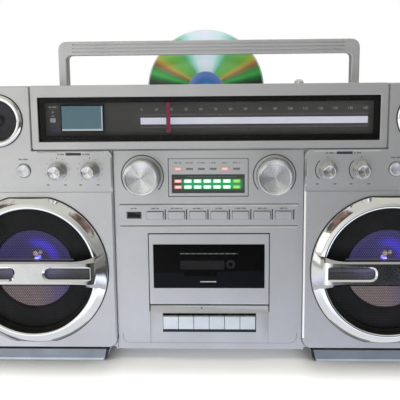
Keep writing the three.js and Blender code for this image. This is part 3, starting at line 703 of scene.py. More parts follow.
def paper():
    """White paper with painted light and shade: darkened close to the object beside its centre, a painted
    contact shadow, and glowing a little further off and under the middle of the cabinet, painted light.
    """
    made = surface("paper", (0.91, 0.905, 0.90), (0.91, 0.905, 0.90), (0.8, 0.9), 12, 700, 0.01)
    g = Graph(made.node_tree)
    shader = made.node_tree.nodes["Principled BSDF"]
    x, y = g.axes()[:2]
    high = CAD_BOX[1]
    beside = g.minus(g.math("ABSOLUTE", x), high[0])
    before = g.minus(FACE * MM, y)
    behind = g.minus(y, high[1])
    away = g.math("MAXIMUM", g.math("MAXIMUM", beside, before), behind)
    # Painted light: lift makes the paper glow more with distance from the object, and under adds a little glow
    # under the middle of the cabinet near its edges.
    under = g.times(g.remap(away, -0.045, 0.0), g.remap(g.math("ABSOLUTE", x), 0.085, 0.1, 1, 0))
    lift = g.plus(g.remap(away, 0.016, 0.06, 0.0, 0.3, smooth=True), g.times(under, 0.10))
    # Painted shadow: near darkens the paper close to the object, beside its centre section.
    near = g.times(g.remap(away, 0.0, 0.045, 1.0, 0.0), g.remap(g.math("ABSOLUTE", x), 0.08, 0.12))
    grain = shader.inputs["Base Color"].links[0].from_socket
    g.give(shader, Emission_Strength=lift, Base_Color=g.mix(near, grain, (0.66, 0.655, 0.65)))
    shader.inputs["Emission Color"].default_value = (1, 0.985, 0.965, 1)
    return made


def studio():
    """White cyclorama. The mirrored room is bright at the left, dark at the right and has two doorways."""
    world = bpy.data.worlds.new("studio")
    bpy.context.scene.world = world
    world.use_nodes = True
    g = Graph(world.node_tree)
    background = world.node_tree.nodes["Background"]
    x, y, z = g.axes("Generated")[:3]
    across = g.remap(x, -0.75, 0.75)
    front = g.ramp(across, [
        (0.0, (1.25, 1.25, 1.21)), (0.25, (1.58, 1.58, 1.53)), (0.34, (1.08, 1.08, 1.05)),
        (0.42, (0.60, 0.60, 0.59)), (0.48, (0.40, 0.40, 0.39)), (0.59, (0.04, 0.04, 0.04)),
        (0.68, (0.0, 0.0, 0.0)), (1.0, (0.12, 0.12, 0.12)),
    ])
    level = g.ramp(across, [
        (0.0, (0.70, 0.70, 0.69)), (0.28, (0.93, 0.93, 0.92)), (0.48, (0.70, 0.71, 0.71)),
        (0.68, (0.38, 0.38, 0.38)), (1.0, (0.30, 0.30, 0.30)),
    ])
    ahead = g.mix(g.remap(z, -0.13, -0.03, smooth=True), front, level)
    around = g.mix(g.remap(y, -0.25, 0.3), ahead, (0.27, 0.27, 0.27))
    below = g.ramp(across, [(0.0, (1.22, 1.27, 1.50)), (0.5, (1.31, 1.42, 1.79)), (1.0, (2.05, 2.18, 2.75))])
    sunk = g.plus(z, g.remap(x, -0.15, 0.25, -0.01, 0.06))
    seen = g.mix(g.remap(sunk, -0.23, -0.42, smooth=True), around, below)
    seen = g.mix(g.remap(z, -0.42, -0.70, smooth=True), seen, (0.80, 0.82, 0.87))
    seen = g.mix(g.remap(z, 0.12, 0.6, smooth=True), seen, (0.66, 0.66, 0.61))
    mottle = g.node("TexNoise", Vector=g.node("TexCoord", out=0), Scale=7.0, Detail=3)
    for place in ((0.66, -0.42, 0.62), (-0.66, -0.40, 0.63)):
        off = g.node("VectorMath", {"operation": "DISTANCE"}, out=1)
        links = off.node.inputs
        g.link(g.node("TexCoord", out=0), links[0])
        links[1].default_value = place
        ragged = g.plus(off, g.times(g.minus(mottle, 0.5), 0.35))
        patch = g.remap(ragged, 0.22, 0.30, 1, 0)
        doorway = g.mix(g.remap(mottle, 0.4, 0.6), (0.02, 0.018, 0.018), (0.22, 0.12, 0.10))
        seen = g.mix(g.times(patch, 0.9), seen, doorway)
    camera_ray = g.node("LightPath", out=0)
    g.link(g.mix(camera_ray, seen, (1.0, 1.0, 1.0)), background.inputs["Color"])

    bm = bmesh.new()
    bmesh.ops.create_grid(bm, x_segments=24, y_segments=24, size=4.0)
    floor = bpy.data.objects.new("floor", mesh_of("floor", bm))
    bpy.context.collection.objects.link(floor)
    floor.data.materials.append(paper())
    floor.visible_glossy = False


def area_light(name, place, target, size, power):
    lamp = bpy.data.lights.new(name, "AREA")
    lamp.shape = "RECTANGLE"
    lamp.size, lamp.size_y = size
    lamp.energy = power
    made = bpy.data.objects.new(name, lamp)
    bpy.context.collection.objects.link(made)
    made.location = place
    made.rotation_euler = (Vector(target) - Vector(place)).to_track_quat("-Z", "Y").to_euler()
    return made


studio()
area_light("top_light", (-0.15, 0.25, 1.5), (0, -0.1, 0), (1.6, 1.2), 34).visible_glossy = False
area_light("side_light", (-1.1, -0.6, 0.45), (0, 0, 0.12), (0.5, 0.5), 0.8)

# ---------------------------------------------------------------- cabinet


def front_cutters(under):
    """What is cut from the front half, at the centre section's corners and along slanted edges."""
    cutters = []
    for way in (-1, 1):
        for reach, height, up, past in ((9.0, 13.0, 1, 4), (6.5, 203.7, -1, 0.2)):
            bow = [(CENTRE_HALF + reach * (1 - math.sin(t)), height + up * reach * (1 - math.cos(t)))
                   for t in quarter(8)]
            end = height - up * past
            outline = [(CENTRE_HALF - 1, end), (CENTRE_HALF - 1, height + up * reach), *bow[::-1],
                       (CENTRE_HALF + reach, end)]
            cutters.append(solid(prism, [(way * x, z) for x, z in outline], -1, 2.4))
    for z in (151.7, 131.1):
        slant = ((2.9, -1.2), (4.1, 0.02), (2.9, 0.02))
        cutters.append(solid(skin, [[(x, y, z + up) for y, up in slant] for x in (-83.3, 83.3)]))
    for way in (-1, 1):
        slant = ((-0.1, -1.6), (1.4, 0), (-0.1, 0))
        cutters.append(solid(skin, [[(way * x, y, under + up) for y, up in slant] for x in (96, 158)]))
    for way in (-1, 1):
        chamfer = ((88.6, -0.2), (90.6, -0.2), (88.6, 1.8))
        cutters.append(solid(skin, [[(way * x, y, z) for x, y in chamfer] for z in (22.2, 80.0, 197.0)]))
    foot_line = [(-88.6, 8), (88.6, 8), (88.6, 26), (83.4, 26), (83.4, 16.6), (-83.4, 16.6), (-83.4, 26),
                 (-88.6, 26)]
    cutters.append(solid(prism, rounded(foot_line, [0, 0, 0, 0, 8, 8, 0, 0], 8), 2, 3.9))
    return cutters


def cabinet():
    under = span("dial_frame")[0].z - 1.1
    bm = carve(copy_of("front_cabinet"), *front_cutters(under))
    rims = []
    for edge in bm.edges:
        spot = edge.verts[0].co / MM
        corner = abs(spot.x) < 97 and not 24 < spot.z < 196
        if lies_at(edge, 0) and edge.is_manifold and edge.calc_face_angle(0) > 1:
            if corner or edge.calc_length() > 12 * MM:
                rims.append(edge)
    bevel(bm, rims, 1.1, 4)
    soften(bm, 0.35, 2, 40)
    shell = even(piece("front_shell", bm, silver, "cabinet", "silver", "front_cabinet"))
    for extra in (black, chrome, lip_highlight, seam_shade):
        shell.data.materials.append(extra)
    in_wall_shade, in_edge_highlight, in_lip_highlight, in_groove_shade = range(1, 5)
    for side in shell.data.polygons:
        x, y, z = side.center / MM
        y -= FACE
        # The inner bevel of the right speaker panel, which faces the light, is given chrome so that it shows as
        # a bright line: a painted highlight.
        if 88 < x < 98 and y < 1.9 and side.normal.x < -0.25 and z > 80:
            side.material_index = in_edge_highlight
        # The up-facing slanted faces of the lips below the dial's frame and along the centre section's two
        # grooves get the paler silver: a painted highlight.
        lips = (151.1, 130.5) if abs(x) < 84 else (under - 0.8,) if abs(x) > 90 else ()
        slanted = side.normal.z > 0.5 and side.normal.y < -0.4 and y < 4.1
        if slanted and any(abs(z - lip) < 0.9 for lip in lips):
            side.material_index = in_lip_highlight
        # Walls of the centre section's openings are painted black and the floors of its two grooves dark grey:
        # painted shade in these recesses.
        wall = 3.9 < y < 6.2 and abs(side.normal.y) < 0.5 and not 46 < z < 55
        groove = y > 3.7 and side.normal.y < -0.9 and min(abs(z - 152.3), abs(z - 131.7)) < 1.0
        if abs(x) < 84 and (wall or groove):
            side.material_index = in_groove_shade if groove else in_wall_shade
    seam_shadows()
    for side in SIDES:
        skid(side)


def seam_shadows():
    """Painted shadow: dark strips where the dial's frame and the centre section meet the speaker panels, where
    shade falls in the seams.
    """
    bm = bmesh.new()
    low, high = span("dial_frame")
    top = span("front_cabinet")[1].z
    for way in (-1, 1):
        box(bm, sorted((way * (high.x - 0.1), way * (high.x + 1.0))), (-0.04, 0.5), (low.z - 1.0, top - 0.2))
        box(bm, sorted((way * 88.7, way * 88.1)), (4.0, 4.36), (20, 203))
    box(bm, (low.x - 0.5, high.x + 0.5), (-0.04, 0.5), (low.z - 1.1, low.z - 0.3))
    for way in (-1, 1):
        for reach, height, up in ((9.0, 22.0, -1), (6.5, 197.2, 1)):
            bows = []
            edge = CENTRE_HALF + reach
            for radius in (reach + 0.05, reach + 0.95):
                bows.append([(way * (edge - radius * math.cos(t)), height + up * radius * math.sin(t))
                             for t in quarter(10)])
            prism(bm, bows[0] + bows[1][::-1], 2.0, 2.39)
    inner = rounded([(83.4, 26), (83.4, 16.6), (-83.4, 16.6), (-83.4, 26)], [0, 8, 8, 0], 8)
    outer = rounded([(83.9, 26), (83.9, 16.1), (-83.9, 16.1), (-83.9, 26)], [0, 8.5, 8.5, 0], 8)
    prism(bm, inner + outer[::-1], 3.6, 3.88)
    piece("seam_shadow_lines", bm, seam_shade, "cabinet", "rubber")


def skid(side):
    """A foot with a softened edge and a slanted cheek at its inner end."""
    low, high = span("foot_" + side)
    way, inner, outer = (1, high.x, low.x) if side == "left" else (-1, low.x, high.x)
    bm = copy_of("foot_" + side)
    ends = [e for e in bm.edges if lies_at(e, low.y)
            and all(abs(v.co.x / MM - inner) < 3.2 and v.co.z > 3 * MM for v in e.verts)]
    bevel(bm, ends, 3.0, 1)
    soften(bm, 1.1, 3, 50)
    # The foot takes the darker silver: painted shade.
    even(piece("skid_" + side, bm, skid_metal_shaded, "cabinet", "silver", "foot_" + side))
    # A lip along the foot's bottom front in the paler silver: a painted reflection of the floor.
    line = [(inner - way * 4, 0.3), (outer + way * 4, 0.3), (outer + way * 3.4, 2.6), (inner - way * 3, 2.6)]
    bm = solid(prism, rounded(line, 0.6, 3), low.y - 0.35, low.y + 1)
    soften(bm, 0.3, 2)
    piece("skid_lip_sheen_" + side, bm, skid_lip_sheen, "cabinet", "silver")
    # A black wedge past the foot's slanted inner end: painted shadow in the gap there.
    wedge = ((-3.0, 0.3), (-1.3, 4), (0.1, 11.3), (2.2, 11.3), (0.6, 4), (-2.0, 0.3))
    bm = solid(prism, [(inner + way * off, z) for off, z in wedge], low.y + 0.4, 60)
    piece("skid_end_shadow_" + side, bm, black, "cabinet", "rubber")


# ---------------------------------------------------------------- handle


def handle():
    low, high = span("handle")
    half, top, foot = high.x, high.z, low.z + 7.5
    arm, grip = 7.4, 12.8
    outer = [(-half, foot), (-half, top), (half, top), (half, foot)]
    inner = [(half - arm, foot), (half - arm, top - grip), (-half + arm, top - grip), (-half + arm, foot)]
    bm = solid(prism, rounded(outer + inner, [0, 9, 9, 0, 0, 4.5, 4.5, 0], 8), low.y, high.y)
    grooves = []
    for z in (top - 9.6, top - 6.4, top - 3.2):
        line = rounded(rectangle(-half + 13.5, half - 13.5, z - 0.6, z + 0.6), 0.55, 4)
        grooves += [solid(prism, line, y - 1.3, y + 1.3) for y in (low.y, high.y)]
    radius = (high.y - low.y) / 2
    turn = circle(low.y + radius, foot, radius, 48)
    for x in (-half, half - arm):
        knuckle = solid(skin, [[(end, y, z) for y, z in turn] for end in (x, x + arm)])
        bm = carve(bm, knuckle, operation="UNION")
    soften(bm, 0.7, 3, 35)
    bm = carve(bm, *grooves)
    even(piece("carry_handle", bm, silver, "handle", "silver", "handle"))


# ---------------------------------------------------------------- dial tuner


def dial():
    refined("dial_frame", silver, "silver", 0.5, 3, name="dial_surround")
    dress("dial_window", clear)
    dress("dial_scale", dial_print)
    low, high = span("dial_window")
    bm = bmesh.new()
    band(bm, rectangle(low.x + 0.6, high.x - 0.6, low.z + 0.6, high.z - 0.6),
         rectangle(-150.4, 150.6, 217.0, 247.0), high.y + 0.02, high.y + 0.3)
    piece("window_mask", bm, gloss_black, "cabinet", "clear")

    face = span("dial_scale")[0].y
    bm = bmesh.new()
    dash(bm, -62.5, 146.4, 229.7, 6.2, face)
    piece("scale_strip", bm, lavender, "cabinet", "dial")
    bm = bmesh.new()
    for z in (235.3, 224.0):
        dash(bm, -62.5, 146.4, z, 1.3, face)
    word(bm, 10, 36, 221.2, 1.2, face, 3)
    piece("scale_lines", bm, ink_grey, "cabinet", "dial")
    bm = bmesh.new()
    for i in range(16):
        text(bm, str(10 * i), -61.3 + 13.68 * i, face, 240.2, 3.3)
    for z, wide in ((243.2, 3.8), (238.4, 1.0), (235.0, 1.2)):
        word(bm, -144.2 - wide, -144.2 + wide, z, 1.3, face, 2)
    prism(bm, rounded(rectangle(-146.8, -141.9, 229.0, 233.0), 0.5), face - INK, face - LIFT)
    piece("scale_numbers", bm, ink_light, "cabinet", "dial")
    bm = bmesh.new()
    word(bm, -147.2, -141, 223.6, 3.2, face, 1)
    word(bm, -146.4, -142, 220.0, 1.4, face, 3)
    piece("scale_mark", bm, ink_purple, "cabinet", "dial")

    low, high = span("lcd_display")
    dress("lcd_display", lcd)
    bm = bmesh.new()
    edge = 1.1
    outline = [(low.x, low.z), (high.x, low.z), (high.x, high.z), (high.x - edge, high.z),
               (high.x - edge, low.z + 1.7), (low.x, low.z + 1.7)]
    prism(bm, outline, low.y - 0.25, low.y - 0.02)
    piece("lcd_lit_edge", bm, lcd_rim, "cabinet", "lcd")
    bm = bmesh.new()
    outer, inner = (rectangle(low.x - out, high.x + out, low.z - out, high.z + out) for out in (1, 0.1))
    band(bm, outer, inner, low.y + 0.4, high.y)
    piece("lcd_surround", bm, gloss_black, "cabinet", "lcd")


def pointer():
    """A pale acrylic blade with a red line, hung from a carriage that runs behind the scale."""
    low, high = span("dial_pointer")
    x = middle("dial_pointer").x
    bm = bmesh.new()
    prism(bm, rounded(rectangle(x - 1.95, x + 1.95, 219.0, 254.6), 0.3), 5.6, 6.7)
    box(bm, (x - 2, x + 2), (5.6, high.y - 1.6), (254.1, high.z))
    box(bm, (low.x, high.x), (high.y - 1.6, high.y), (244, high.z))
    soften(bm, 0.15, 1)
    piece("pointer_blade", bm, pointer_pale, "dial_pointer", "pointer", "dial_pointer")
    bm = solid(prism, rectangle(x - 1.05, x + 1.05, 219.4, 248.5), low.y, 5.58)
    piece("pointer_line", bm, pointer_red, "dial_pointer", "pointer")


# ---------------------------------------------------------------- speakers


def clipped(bm, low, high):
    """Cuts a closed mesh off flat below and above two heights."""
    for z, up in ((low, -1), (high, 1)):
        geometry = bm.verts[:] + bm.edges[:] + bm.faces[:]
        cut = bmesh.ops.bisect_plane(bm, geom=geometry, plane_co=at(0, 0, z), plane_no=(0, 0, up),
                                     clear_outer=True)
        rim = [e for e in cut["geom_cut"] if isinstance(e, bmesh.types.BMEdge)]
        bmesh.ops.triangle_fill(bm, edges=rim, use_beauty=True)


def bar_section(reach, off):
    """The section of the bar across a woofer, as [y, height] pairs, at a distance from its middle."""
    flare = max(0.0, off - 40) / (reach - 40)
    slope = max(0.0, off - 54) / (reach - 54)
    half, face = 11.4 + 8.5 * flare ** 2, 9.8 + 1.0 * flare
    front = -14.5 + 10.6 * slope ** 1.6
    edge = min(-0.9, front + 1.7 + 2.2 * flare)
    back = max(-9.5, edge + 0.4)
    return [(back, -half), (edge, -half), (front, -face), (front, face), (edge, half), (back, half)]


def bar_slot(way, x, z):
    """A slot through a woofer's bar, wider at the front, on one side of the middle."""
    lines = []
    for grow in (1.7, 0.0):
        half = 5.4 + grow
        near, far = (half, 0.4) if way > 0 else (0.4, half)
        ends = sorted((way * (14.5 - grow), way * (57.6 + grow)))
        line = rectangle(x + ends[0], x + ends[1], z - half, z + half)
        lines.append(rounded(line, [near, far, far, near], 8))
    wide, straight = lines
    depths = ((wide, -18), (wide, -14.5), (straight, -13.2), (straight, 0))
    return solid(skin, [[(px, y, pz) for px, pz in line] for line, y in depths])


def woofer(side):
    low, high = span("woofer_trim_" + side)
    spot = middle("woofer_trim_" + side)
    x, z = spot.x, spot.z
    outer, flat = (high.x - low.x) / 2, (high.z - low.z) / 2

    ring = [(outer, -0.4), (outer, -2.2), (66, -7.6), (62.2, -8.6), (60.6, -8.2), (60.0, -6.8), (60.0, -0.4)]
    bm = solid(lathe, soft_profile(ring, 0.9), x, z, 180, closed=True)
    clipped(bm, z - flat, z + flat)
    piece("woofer_ring_" + side, bm, chrome, "cabinet", "chrome", "woofer_trim_" + side, smooth=24)

    count = 60
    offs = [-outer + 2 * outer * i / count for i in range(count + 1)]
    bm = solid(skin, [[(x + off, y, z + up) for y, up in bar_section(outer, abs(off))] for off in offs])
    bm = carve(bm, *[bar_slot(way, x, z) for way in (-1, 1)])
    bm = carve(bm, solid(prism, circle(x, z, outer - 0.4, 160), -20, 1), operation="INTERSECT")
    bar = piece("woofer_bar_" + side, bm, bar_chrome, "cabinet", "chrome", smooth=30)
    bar.data.materials.append(chrome)
    for face in bar.data.polygons:
        off, y, up = face.center / MM - Vector((x, FACE, z))
        if -14.4 < y < -13.2 and abs(up) < 7.6 and 12 < abs(off) < 60 and abs(face.normal.y) < 0.95:
            face.material_index = 1
    bm = bmesh.new()
    for way in (-1, 1):
        rows = []
        for k in range(9):
            up = -7.2 + 1.8 * k
            deep = -6.9 - 2.5 * (up / 7.2) ** 2
            rows.append([[bm.verts.new(at(x + way * along, deep + thick, z + up)) for along in (12.6, 58.4)]
                         for thick in (0, 0.6)])
        for a, b in zip(rows, rows[1:]):
            for front, back in ((a[0], b[0]), (b[1], a[1])):
                bm.faces.new((front[0], front[1], back[1], back[0]))
            for end in (0, 1):
                bm.faces.new((a[0][end], a[1][end], b[1][end], b[0][end]))
        for row in (rows[0], rows[-1]):
            bm.faces.new((row[0][0], row[0][1], row[1][1], row[1][0]))
    piece("bar_channel_" + side, bm, slot_glow(side), "cabinet", "chrome")

    # A black plate behind the bar's upper part, seen just above the bar: painted shadow of the bar.
    bm = solid(box, (x - 57, x + 57), (-9.3, -0.9), (z + 7.4, z + 10.2))
    piece("bar_shadow_backing_" + side, bm, gloss_black, "cabinet", "grille")
    bm = solid(box, (x - 40, x + 40), (-0.9, -0.3), (z + 10.3, z + 11.3))
    piece("bar_ledge_" + side, bm, ledge_grey, "cabinet", "grille")

    # A black ring just outside the chrome ring: painted shadow in the gap round the trim.
    shadow_outline = [(px, max(z - flat - 0.8, min(z + flat + 0.8, pz))) for px, pz in circle(x, z, outer + 0.9, 160)]
    bm = solid(band, shadow_outline, circle(x, z, 64, 160), -0.42, -0.02)
    piece("woofer_shadow_ring_" + side, bm, black, "cabinet", "rubber")

    perforated("woofer_mesh_" + side, x, z, span("woofer_grille_" + side)[1].x - x, "woofer_grille_" + side)

    frame_line = [(38.2, 8.2), (38.2, 3.6), (39.2, 3.2), (67.6, 3.4), (68, 5.6), (50, 5.8), (46, 10),
                  (31.6, 34), (36, 36), (36, 50), (0, 50), (0, 35), (30, 33.4), (43, 10), (44, 8.2)]
    bm = solid(lathe, soft_profile(frame_line, 0.8) + [(38.2, 8.2)], x, z, 72)
    piece("woofer_chassis_" + side, bm, black, "cabinet", "black", "woofer_driver_" + side)
    cone = [(0, 24.5), (8.6, 23.4), (9.6, 24), (30, 9.4), (33, 8.2), (34.6, 6.3), (36.4, 6.4), (37.9, 8),
            (37.9, 8.6), (33, 9.4), (30, 10.6), (9.4, 25.4), (0, 25.8)]
    bm = solid(lathe, soft_profile(cone, 1.0), x, z, 96)
    piece("woofer_cone_" + side, bm, lit_cone(side), "cabinet", "cone")
    lamp = [(0, 15.0), (1.6, 15.3), (2.6, 17), (2.6, 24)]
    bm = solid(lathe, soft_profile(lamp, 0.8) + [(0, 24)], x, z + 6.6, 24)
    piece("woofer_lamp_" + side, bm, blue_lamp, "cabinet", "cone")
    bm = bmesh.new()
    for off, up, size in ((-0.6, 13.0, 2.6), (4.4, 14.0, 1.9)):
        lathe(bm, [(0, 13.6), (size * 0.7, 13.9), (size, 14.6), (0, 15.2)], x + off, z + up, 20)
    piece("woofer_glints_" + side, bm, warm_glint, "cabinet", "cone")


def perforated(name, x, z, radius, node):
    """A round sheet of steel with close rows of six-sided holes."""
    pitch, web, front, back = 1.8, 0.14, 0.5, 1.0
    cell = pitch / math.sqrt(3)
    hole = (pitch / 2 - web) / math.cos(math.pi / 6)
    bm = bmesh.new()
    known = {}
    behind = {}

    def corner(px, pz):
        key = (round(px * 2 / pitch), round(pz * 2 / cell))
        if key not in known:
            known[key] = [bm.verts.new(at(x + px, y, z + pz)) for y in (front, back)]
            behind[known[key][0]] = known[key][1]
        return known[key]

    rows = int(radius / (cell * 1.5)) + 1
    limit = radius - 1.6
    for row in range(-rows, rows + 1):
        for column in range(-rows - 2, rows + 3):
            cx = pitch * (column + 0.5 * (row % 2))
            cz = cell * 1.5 * row
            if math.hypot(cx, cz) > limit - cell:
                continue
            turns = [math.radians(60 * k) for k in range(6)]
            outer = [(cx + cell * math.sin(t), cz + cell * math.cos(t)) for t in turns]
            inner = [(cx + hole * math.sin(t), cz + hole * math.cos(t)) for t in turns]
            rims = [[bm.verts.new(at(x + px, y, z + pz)) for px, pz in inner] for y in (front, back)]
            outs = list(zip(*[corner(px, pz) for px, pz in outer]))
            for k in range(6):
                bm.faces.new((outs[0][k - 1], outs[0][k], rims[0][k], rims[0][k - 1]))
                bm.faces.new((outs[1][k], outs[1][k - 1], rims[1][k - 1], rims[1][k]))
                bm.faces.new((rims[0][k - 1], rims[0][k], rims[1][k], rims[1][k - 1]))
    for edge in [e for e in bm.edges if e.is_boundary and e.verts[0] in behind and e.verts[1] in behind]:
        a, b = edge.verts
        bm.faces.new((a, b, behind[b], behind[a]))
    lathe(bm, [(limit - 2.4, 0.2), (radius, 0.2), (radius, 3.0), (limit - 2.4, 3.0)], x, z, 120, closed=True)
    piece(name, bm, grille_paint, "cabinet", "grille", node)


def tweeter(side):
    low, high = span("tweeter_trim_" + side)
    spot = middle("tweeter_trim_" + side)
    x, z = spot.x, spot.z
    outer = (high.x - low.x) / 2
    ring = [(outer, -0.4), (outer, -1.8), (outer - 2.0, -3.2), (19.8, -3.0), (18.6, -1.8), (18.5, -0.4)]
    bm = solid(lathe, soft_profile(ring, 0.8), x, z, 120, closed=True)
    piece("tweeter_ring_" + side, bm, chrome, "cabinet", "chrome", "tweeter_trim_" + side, smooth=24)
    # A black ring just outside the chrome ring: painted shadow in the gap round the trim.
    bm = solid(band, circle(x, z, outer + 0.8, 120), circle(x, z, 20, 120), -0.42, -0.02)
    piece("tweeter_shadow_ring_" + side, bm, black, "cabinet", "rubber")
    line = [(0, 1.7), (2.6, 2.1), (4.6, 3.6), (5.2, 5.4), (6.6, 6.4), (9, 5.8), (15, 3.4), (17.5, 3.5),
            (26, 3.5), (26, 5.4), (17, 5.4), (17, 14), (13, 14), (13, 24), (0, 24)]
    bm = solid(lathe, soft_profile(line, 1.0, 4), x, z, 72)
    piece("tweeter_unit_" + side, bm, cone_paper, "cabinet", "black", "tweeter_driver_" + side)


# ---------------------------------------------------------------- knobs and buttons


def big_knob(node):
    low, high = span(node)
    spot, front, radius = middle(node), low.y, (high.x - low.x) / 2
    line = [(0, front + 0.5), (13.6, front + 0.45), (14.1, front), (15.5, front), (16.4, front + 1.0),
            (radius, -1.2), (radius, 2.3), (3, 2.3), (3, high.y), (0, high.y)]
    bm = solid(lathe, soft_profile(line, 0.45, 3), spot.x, spot.z, 128)
    turn = Matrix.Rotation(math.radians(26), 2)
    outline = [turn @ Vector(p) for p in rounded([(-1.0, 4.0), (1.0, 4.0), (1.9, 15.0), (-1.9, 15.0)], 0.6, 4)]
    notch = solid(prism, [(spot.x + px, spot.z + pz) for px, pz in outline], front - 1, front + 1.3)
    piece(node + "_cap", carve(bm, notch), spun, body_of(node), "aluminium", node, smooth=28)


def small_knob(node):
    low, high = span(node)
    spot, front = middle(node), low.y
    line = [(0, front + 0.35), (4.9, front + 0.5), (5.4, front), (6.2, front + 0.9), (7.0, -9.5), (7.6, -6.0),
            (8.5, -4.0), (8.6, -0.6), (2.5, -0.6), (2.5, high.y), (0, high.y)]
    bm = solid(lathe, soft_profile(line, 0.5, 3), spot.x, spot.z, 80)
    outline = rounded(rectangle(spot.x - 0.45, spot.x + 0.45, spot.z + 2.2, spot.z + 8), 0.3, 3)
    notch = solid(prism, outline, front - 1, front + 0.9)
    piece(node + "_cap", carve(bm, notch), turned_chrome, body_of(node), "chrome", node, smooth=28)


def round_button(node):
    low, high = span(node)
    spot = middle(node)
    line = [(0, low.y + 0.5), (3.5, low.y + 0.25), (5.4, low.y), (6.4, low.y + 1.0), (6.4, 3.5), (8, 3.5),
            (8, high.y), (0, high.y)]
    bm = solid(lathe, soft_profile(line, 0.5, 4), spot.x, spot.z, 64)
    piece(node + "_cap", bm, satin_button, body_of(node), "aluminium", node)


def controls():
    for node in BIG_KNOBS:
        big_knob(node)
    for node in SMALL_KNOBS:
        small_knob(node)
    for node in ("power_button", "band_button"):
        round_button(node)
    for node in BUTTONS:
        refined(node, silver, "silver", 0.45, 3, name=node + "_cap")
    refined("usb_socket", steel, "steel", 0.15, 1, name="usb_shell")
    low, high = span("usb_socket")
    bm = solid(box, (low.x + 0.4, high.x - 0.4), (low.y - 0.12, low.y - 0.01), (low.z + 0.3, high.z - 0.3))
    piece("usb_mouth", bm, gloss_black, "cabinet", "black")
    first = middle("usb_socket").x + 0.8
    bm = solid(box, (first, high.x - 0.9), (low.y - 0.4, low.y - 0.13), (high.z - 2.1, high.z - 0.8))
    soften(bm, 0.1, 1)
    piece("usb_tongue", bm, cone_paper, "cabinet", "key")
    shadow_gaps()


def shadow_gaps():
    """Dark gaps beside the function buttons and round the cassette door and the piano keys."""
    bm = bmesh.new()
    thin = (CENTRE_FACE - 0.1, CENTRE_FACE)
    for node in BUTTONS:
        low, high = span(node)
        box(bm, (high.x, high.x + 1.0), thin, (low.z + 0.3, high.z + 0.75))
    low, high = span("cassette_door")
    left, right = low.x + 2.0, high.x - 2.0
    box(bm, (left - 1.0, right + 1.0), thin, (high.z + 0.05, high.z + 1.0))
    for x in (left - 1.0, right + 0.1):
        box(bm, (x, x + 0.9), thin, (48.0, high.z + 1.0))
    left, right = span(KEYS[0])[0].x, span(KEYS[-1])[1].x
    for heights in ((27.4, 29.2), (45.6, 46.2)):
        box(bm, (left - 0.9, right + 1.0), thin, heights)
    for x in (left - 0.9, right + 0.2):
        box(bm, (x, x + 0.8), thin, (27.4, 46.2))
    piece("shadow_gaps", bm, black, "cabinet", "black")


def meter():
    refined("meter_panel", silver, "silver", 0.3, 2, name="meter_face")
    bm = solid(box, (-33.7, 33.7), (4.0, 4.38), (163.0, 180.2))
    piece("meter_back", bm, meter_glow(), "cabinet", "black")
    groups = {"red": (led_red, []), "green": (led_green, []), "lime": (led_lime, [])}
    for column in range(7):
        colour = "red" if column == 0 else "lime" if column == 6 else "green"
        for row in range(2):
            groups[colour][1].append((-28.1 + 9.07 * column, 174.1 - 5.6 * row))
    for colour, (material, places) in groups.items():
        for i, (x, z) in enumerate(places):
            bm = solid(prism, rounded(rectangle(x - 3.6, x + 3.6, z - 1.55, z + 1.55), 0.5, 3), 3.4, 4.0)
            soften(bm, 0.2, 2)
            piece(f"meter_led_{colour}_{i}", bm, material, "cabinet", "lcd")
    face = span("meter_panel")[0].y
    bm = bmesh.new()
    for i in range(6):
        x = -28.1 + 10.88 * i
        if i not in (0, 4):
            dash(bm, x - 3.2, x + 3.2, 185.5, 2.0, face)
        word(bm, x - 3.4, x + 3.4, 191.2, 1.3, face, i + 1)
    piece("meter_marks", bm, ink_grey, "cabinet", "silver")
    for i in (0, 4):
        x = -28.1 + 10.88 * i
        bm = solid(prism, rounded(rectangle(x - 3.9, x + 3.9, 184.0, 187.2), 0.8, 3), face - 0.5, face - 0.01)
        soften(bm, 0.2, 2)
        piece(f"indicator_lamp_{i}", bm, lamp_pink, "cabinet", "lcd")
    bm = solid(word, -20, 26, 178.2, 0.9, 4.0, 2)
    piece("meter_window_marks", bm, ink_grey, "cabinet", "silver")


# ---------------------------------------------------------------- cassette door, keys and printing


def cassette():
    refined("cassette_door", silver, "silver", 0.45, 3, name="door_panel")
    refined("cassette_window", smoked, "smoked", 0.3, 2, name="door_window")
    low, high = span("cassette_window")
    face = low.y
    film = (face - 0.03, face - LIFT)
    outline = [(low.x + 0.4, low.z + 0.4), (high.x - 0.4, low.z + 0.4), (high.x - 0.4, 88.6), (8, 87.4),
               (8, 83.0), (-24, 83.0), (-24, 86.8), (low.x + 0.4, 86.0)]
    piece("window_tint", solid(prism, outline, *film), ink_navy, "cassette_door", "smoked")
    bm = solid(prism, rounded(rectangle(-27.5, 14.8, 89.6, 98.2), 2.5), *film)
    band(bm, circle(20.6, 94.6, 4.4, 40), circle(20.6, 94.6, 1.8, 40), *film)
    piece("window_shadows", bm, ink_faint, "cassette_door", "smoked")
    piece("window_marks", solid(word, -26.8, 27.3, 105.0, 1.3, face, 1), ink_grey, "cassette_door", "smoked")
    piece("window_bar", solid(dash, -8.3, 6.8, 77.6, 0.9, face), ink_light, "cassette_door", "smoked")
    for node in KEYS:
        refined(node, key_finish, "key", 0.6, 3, name=node + "_cap")


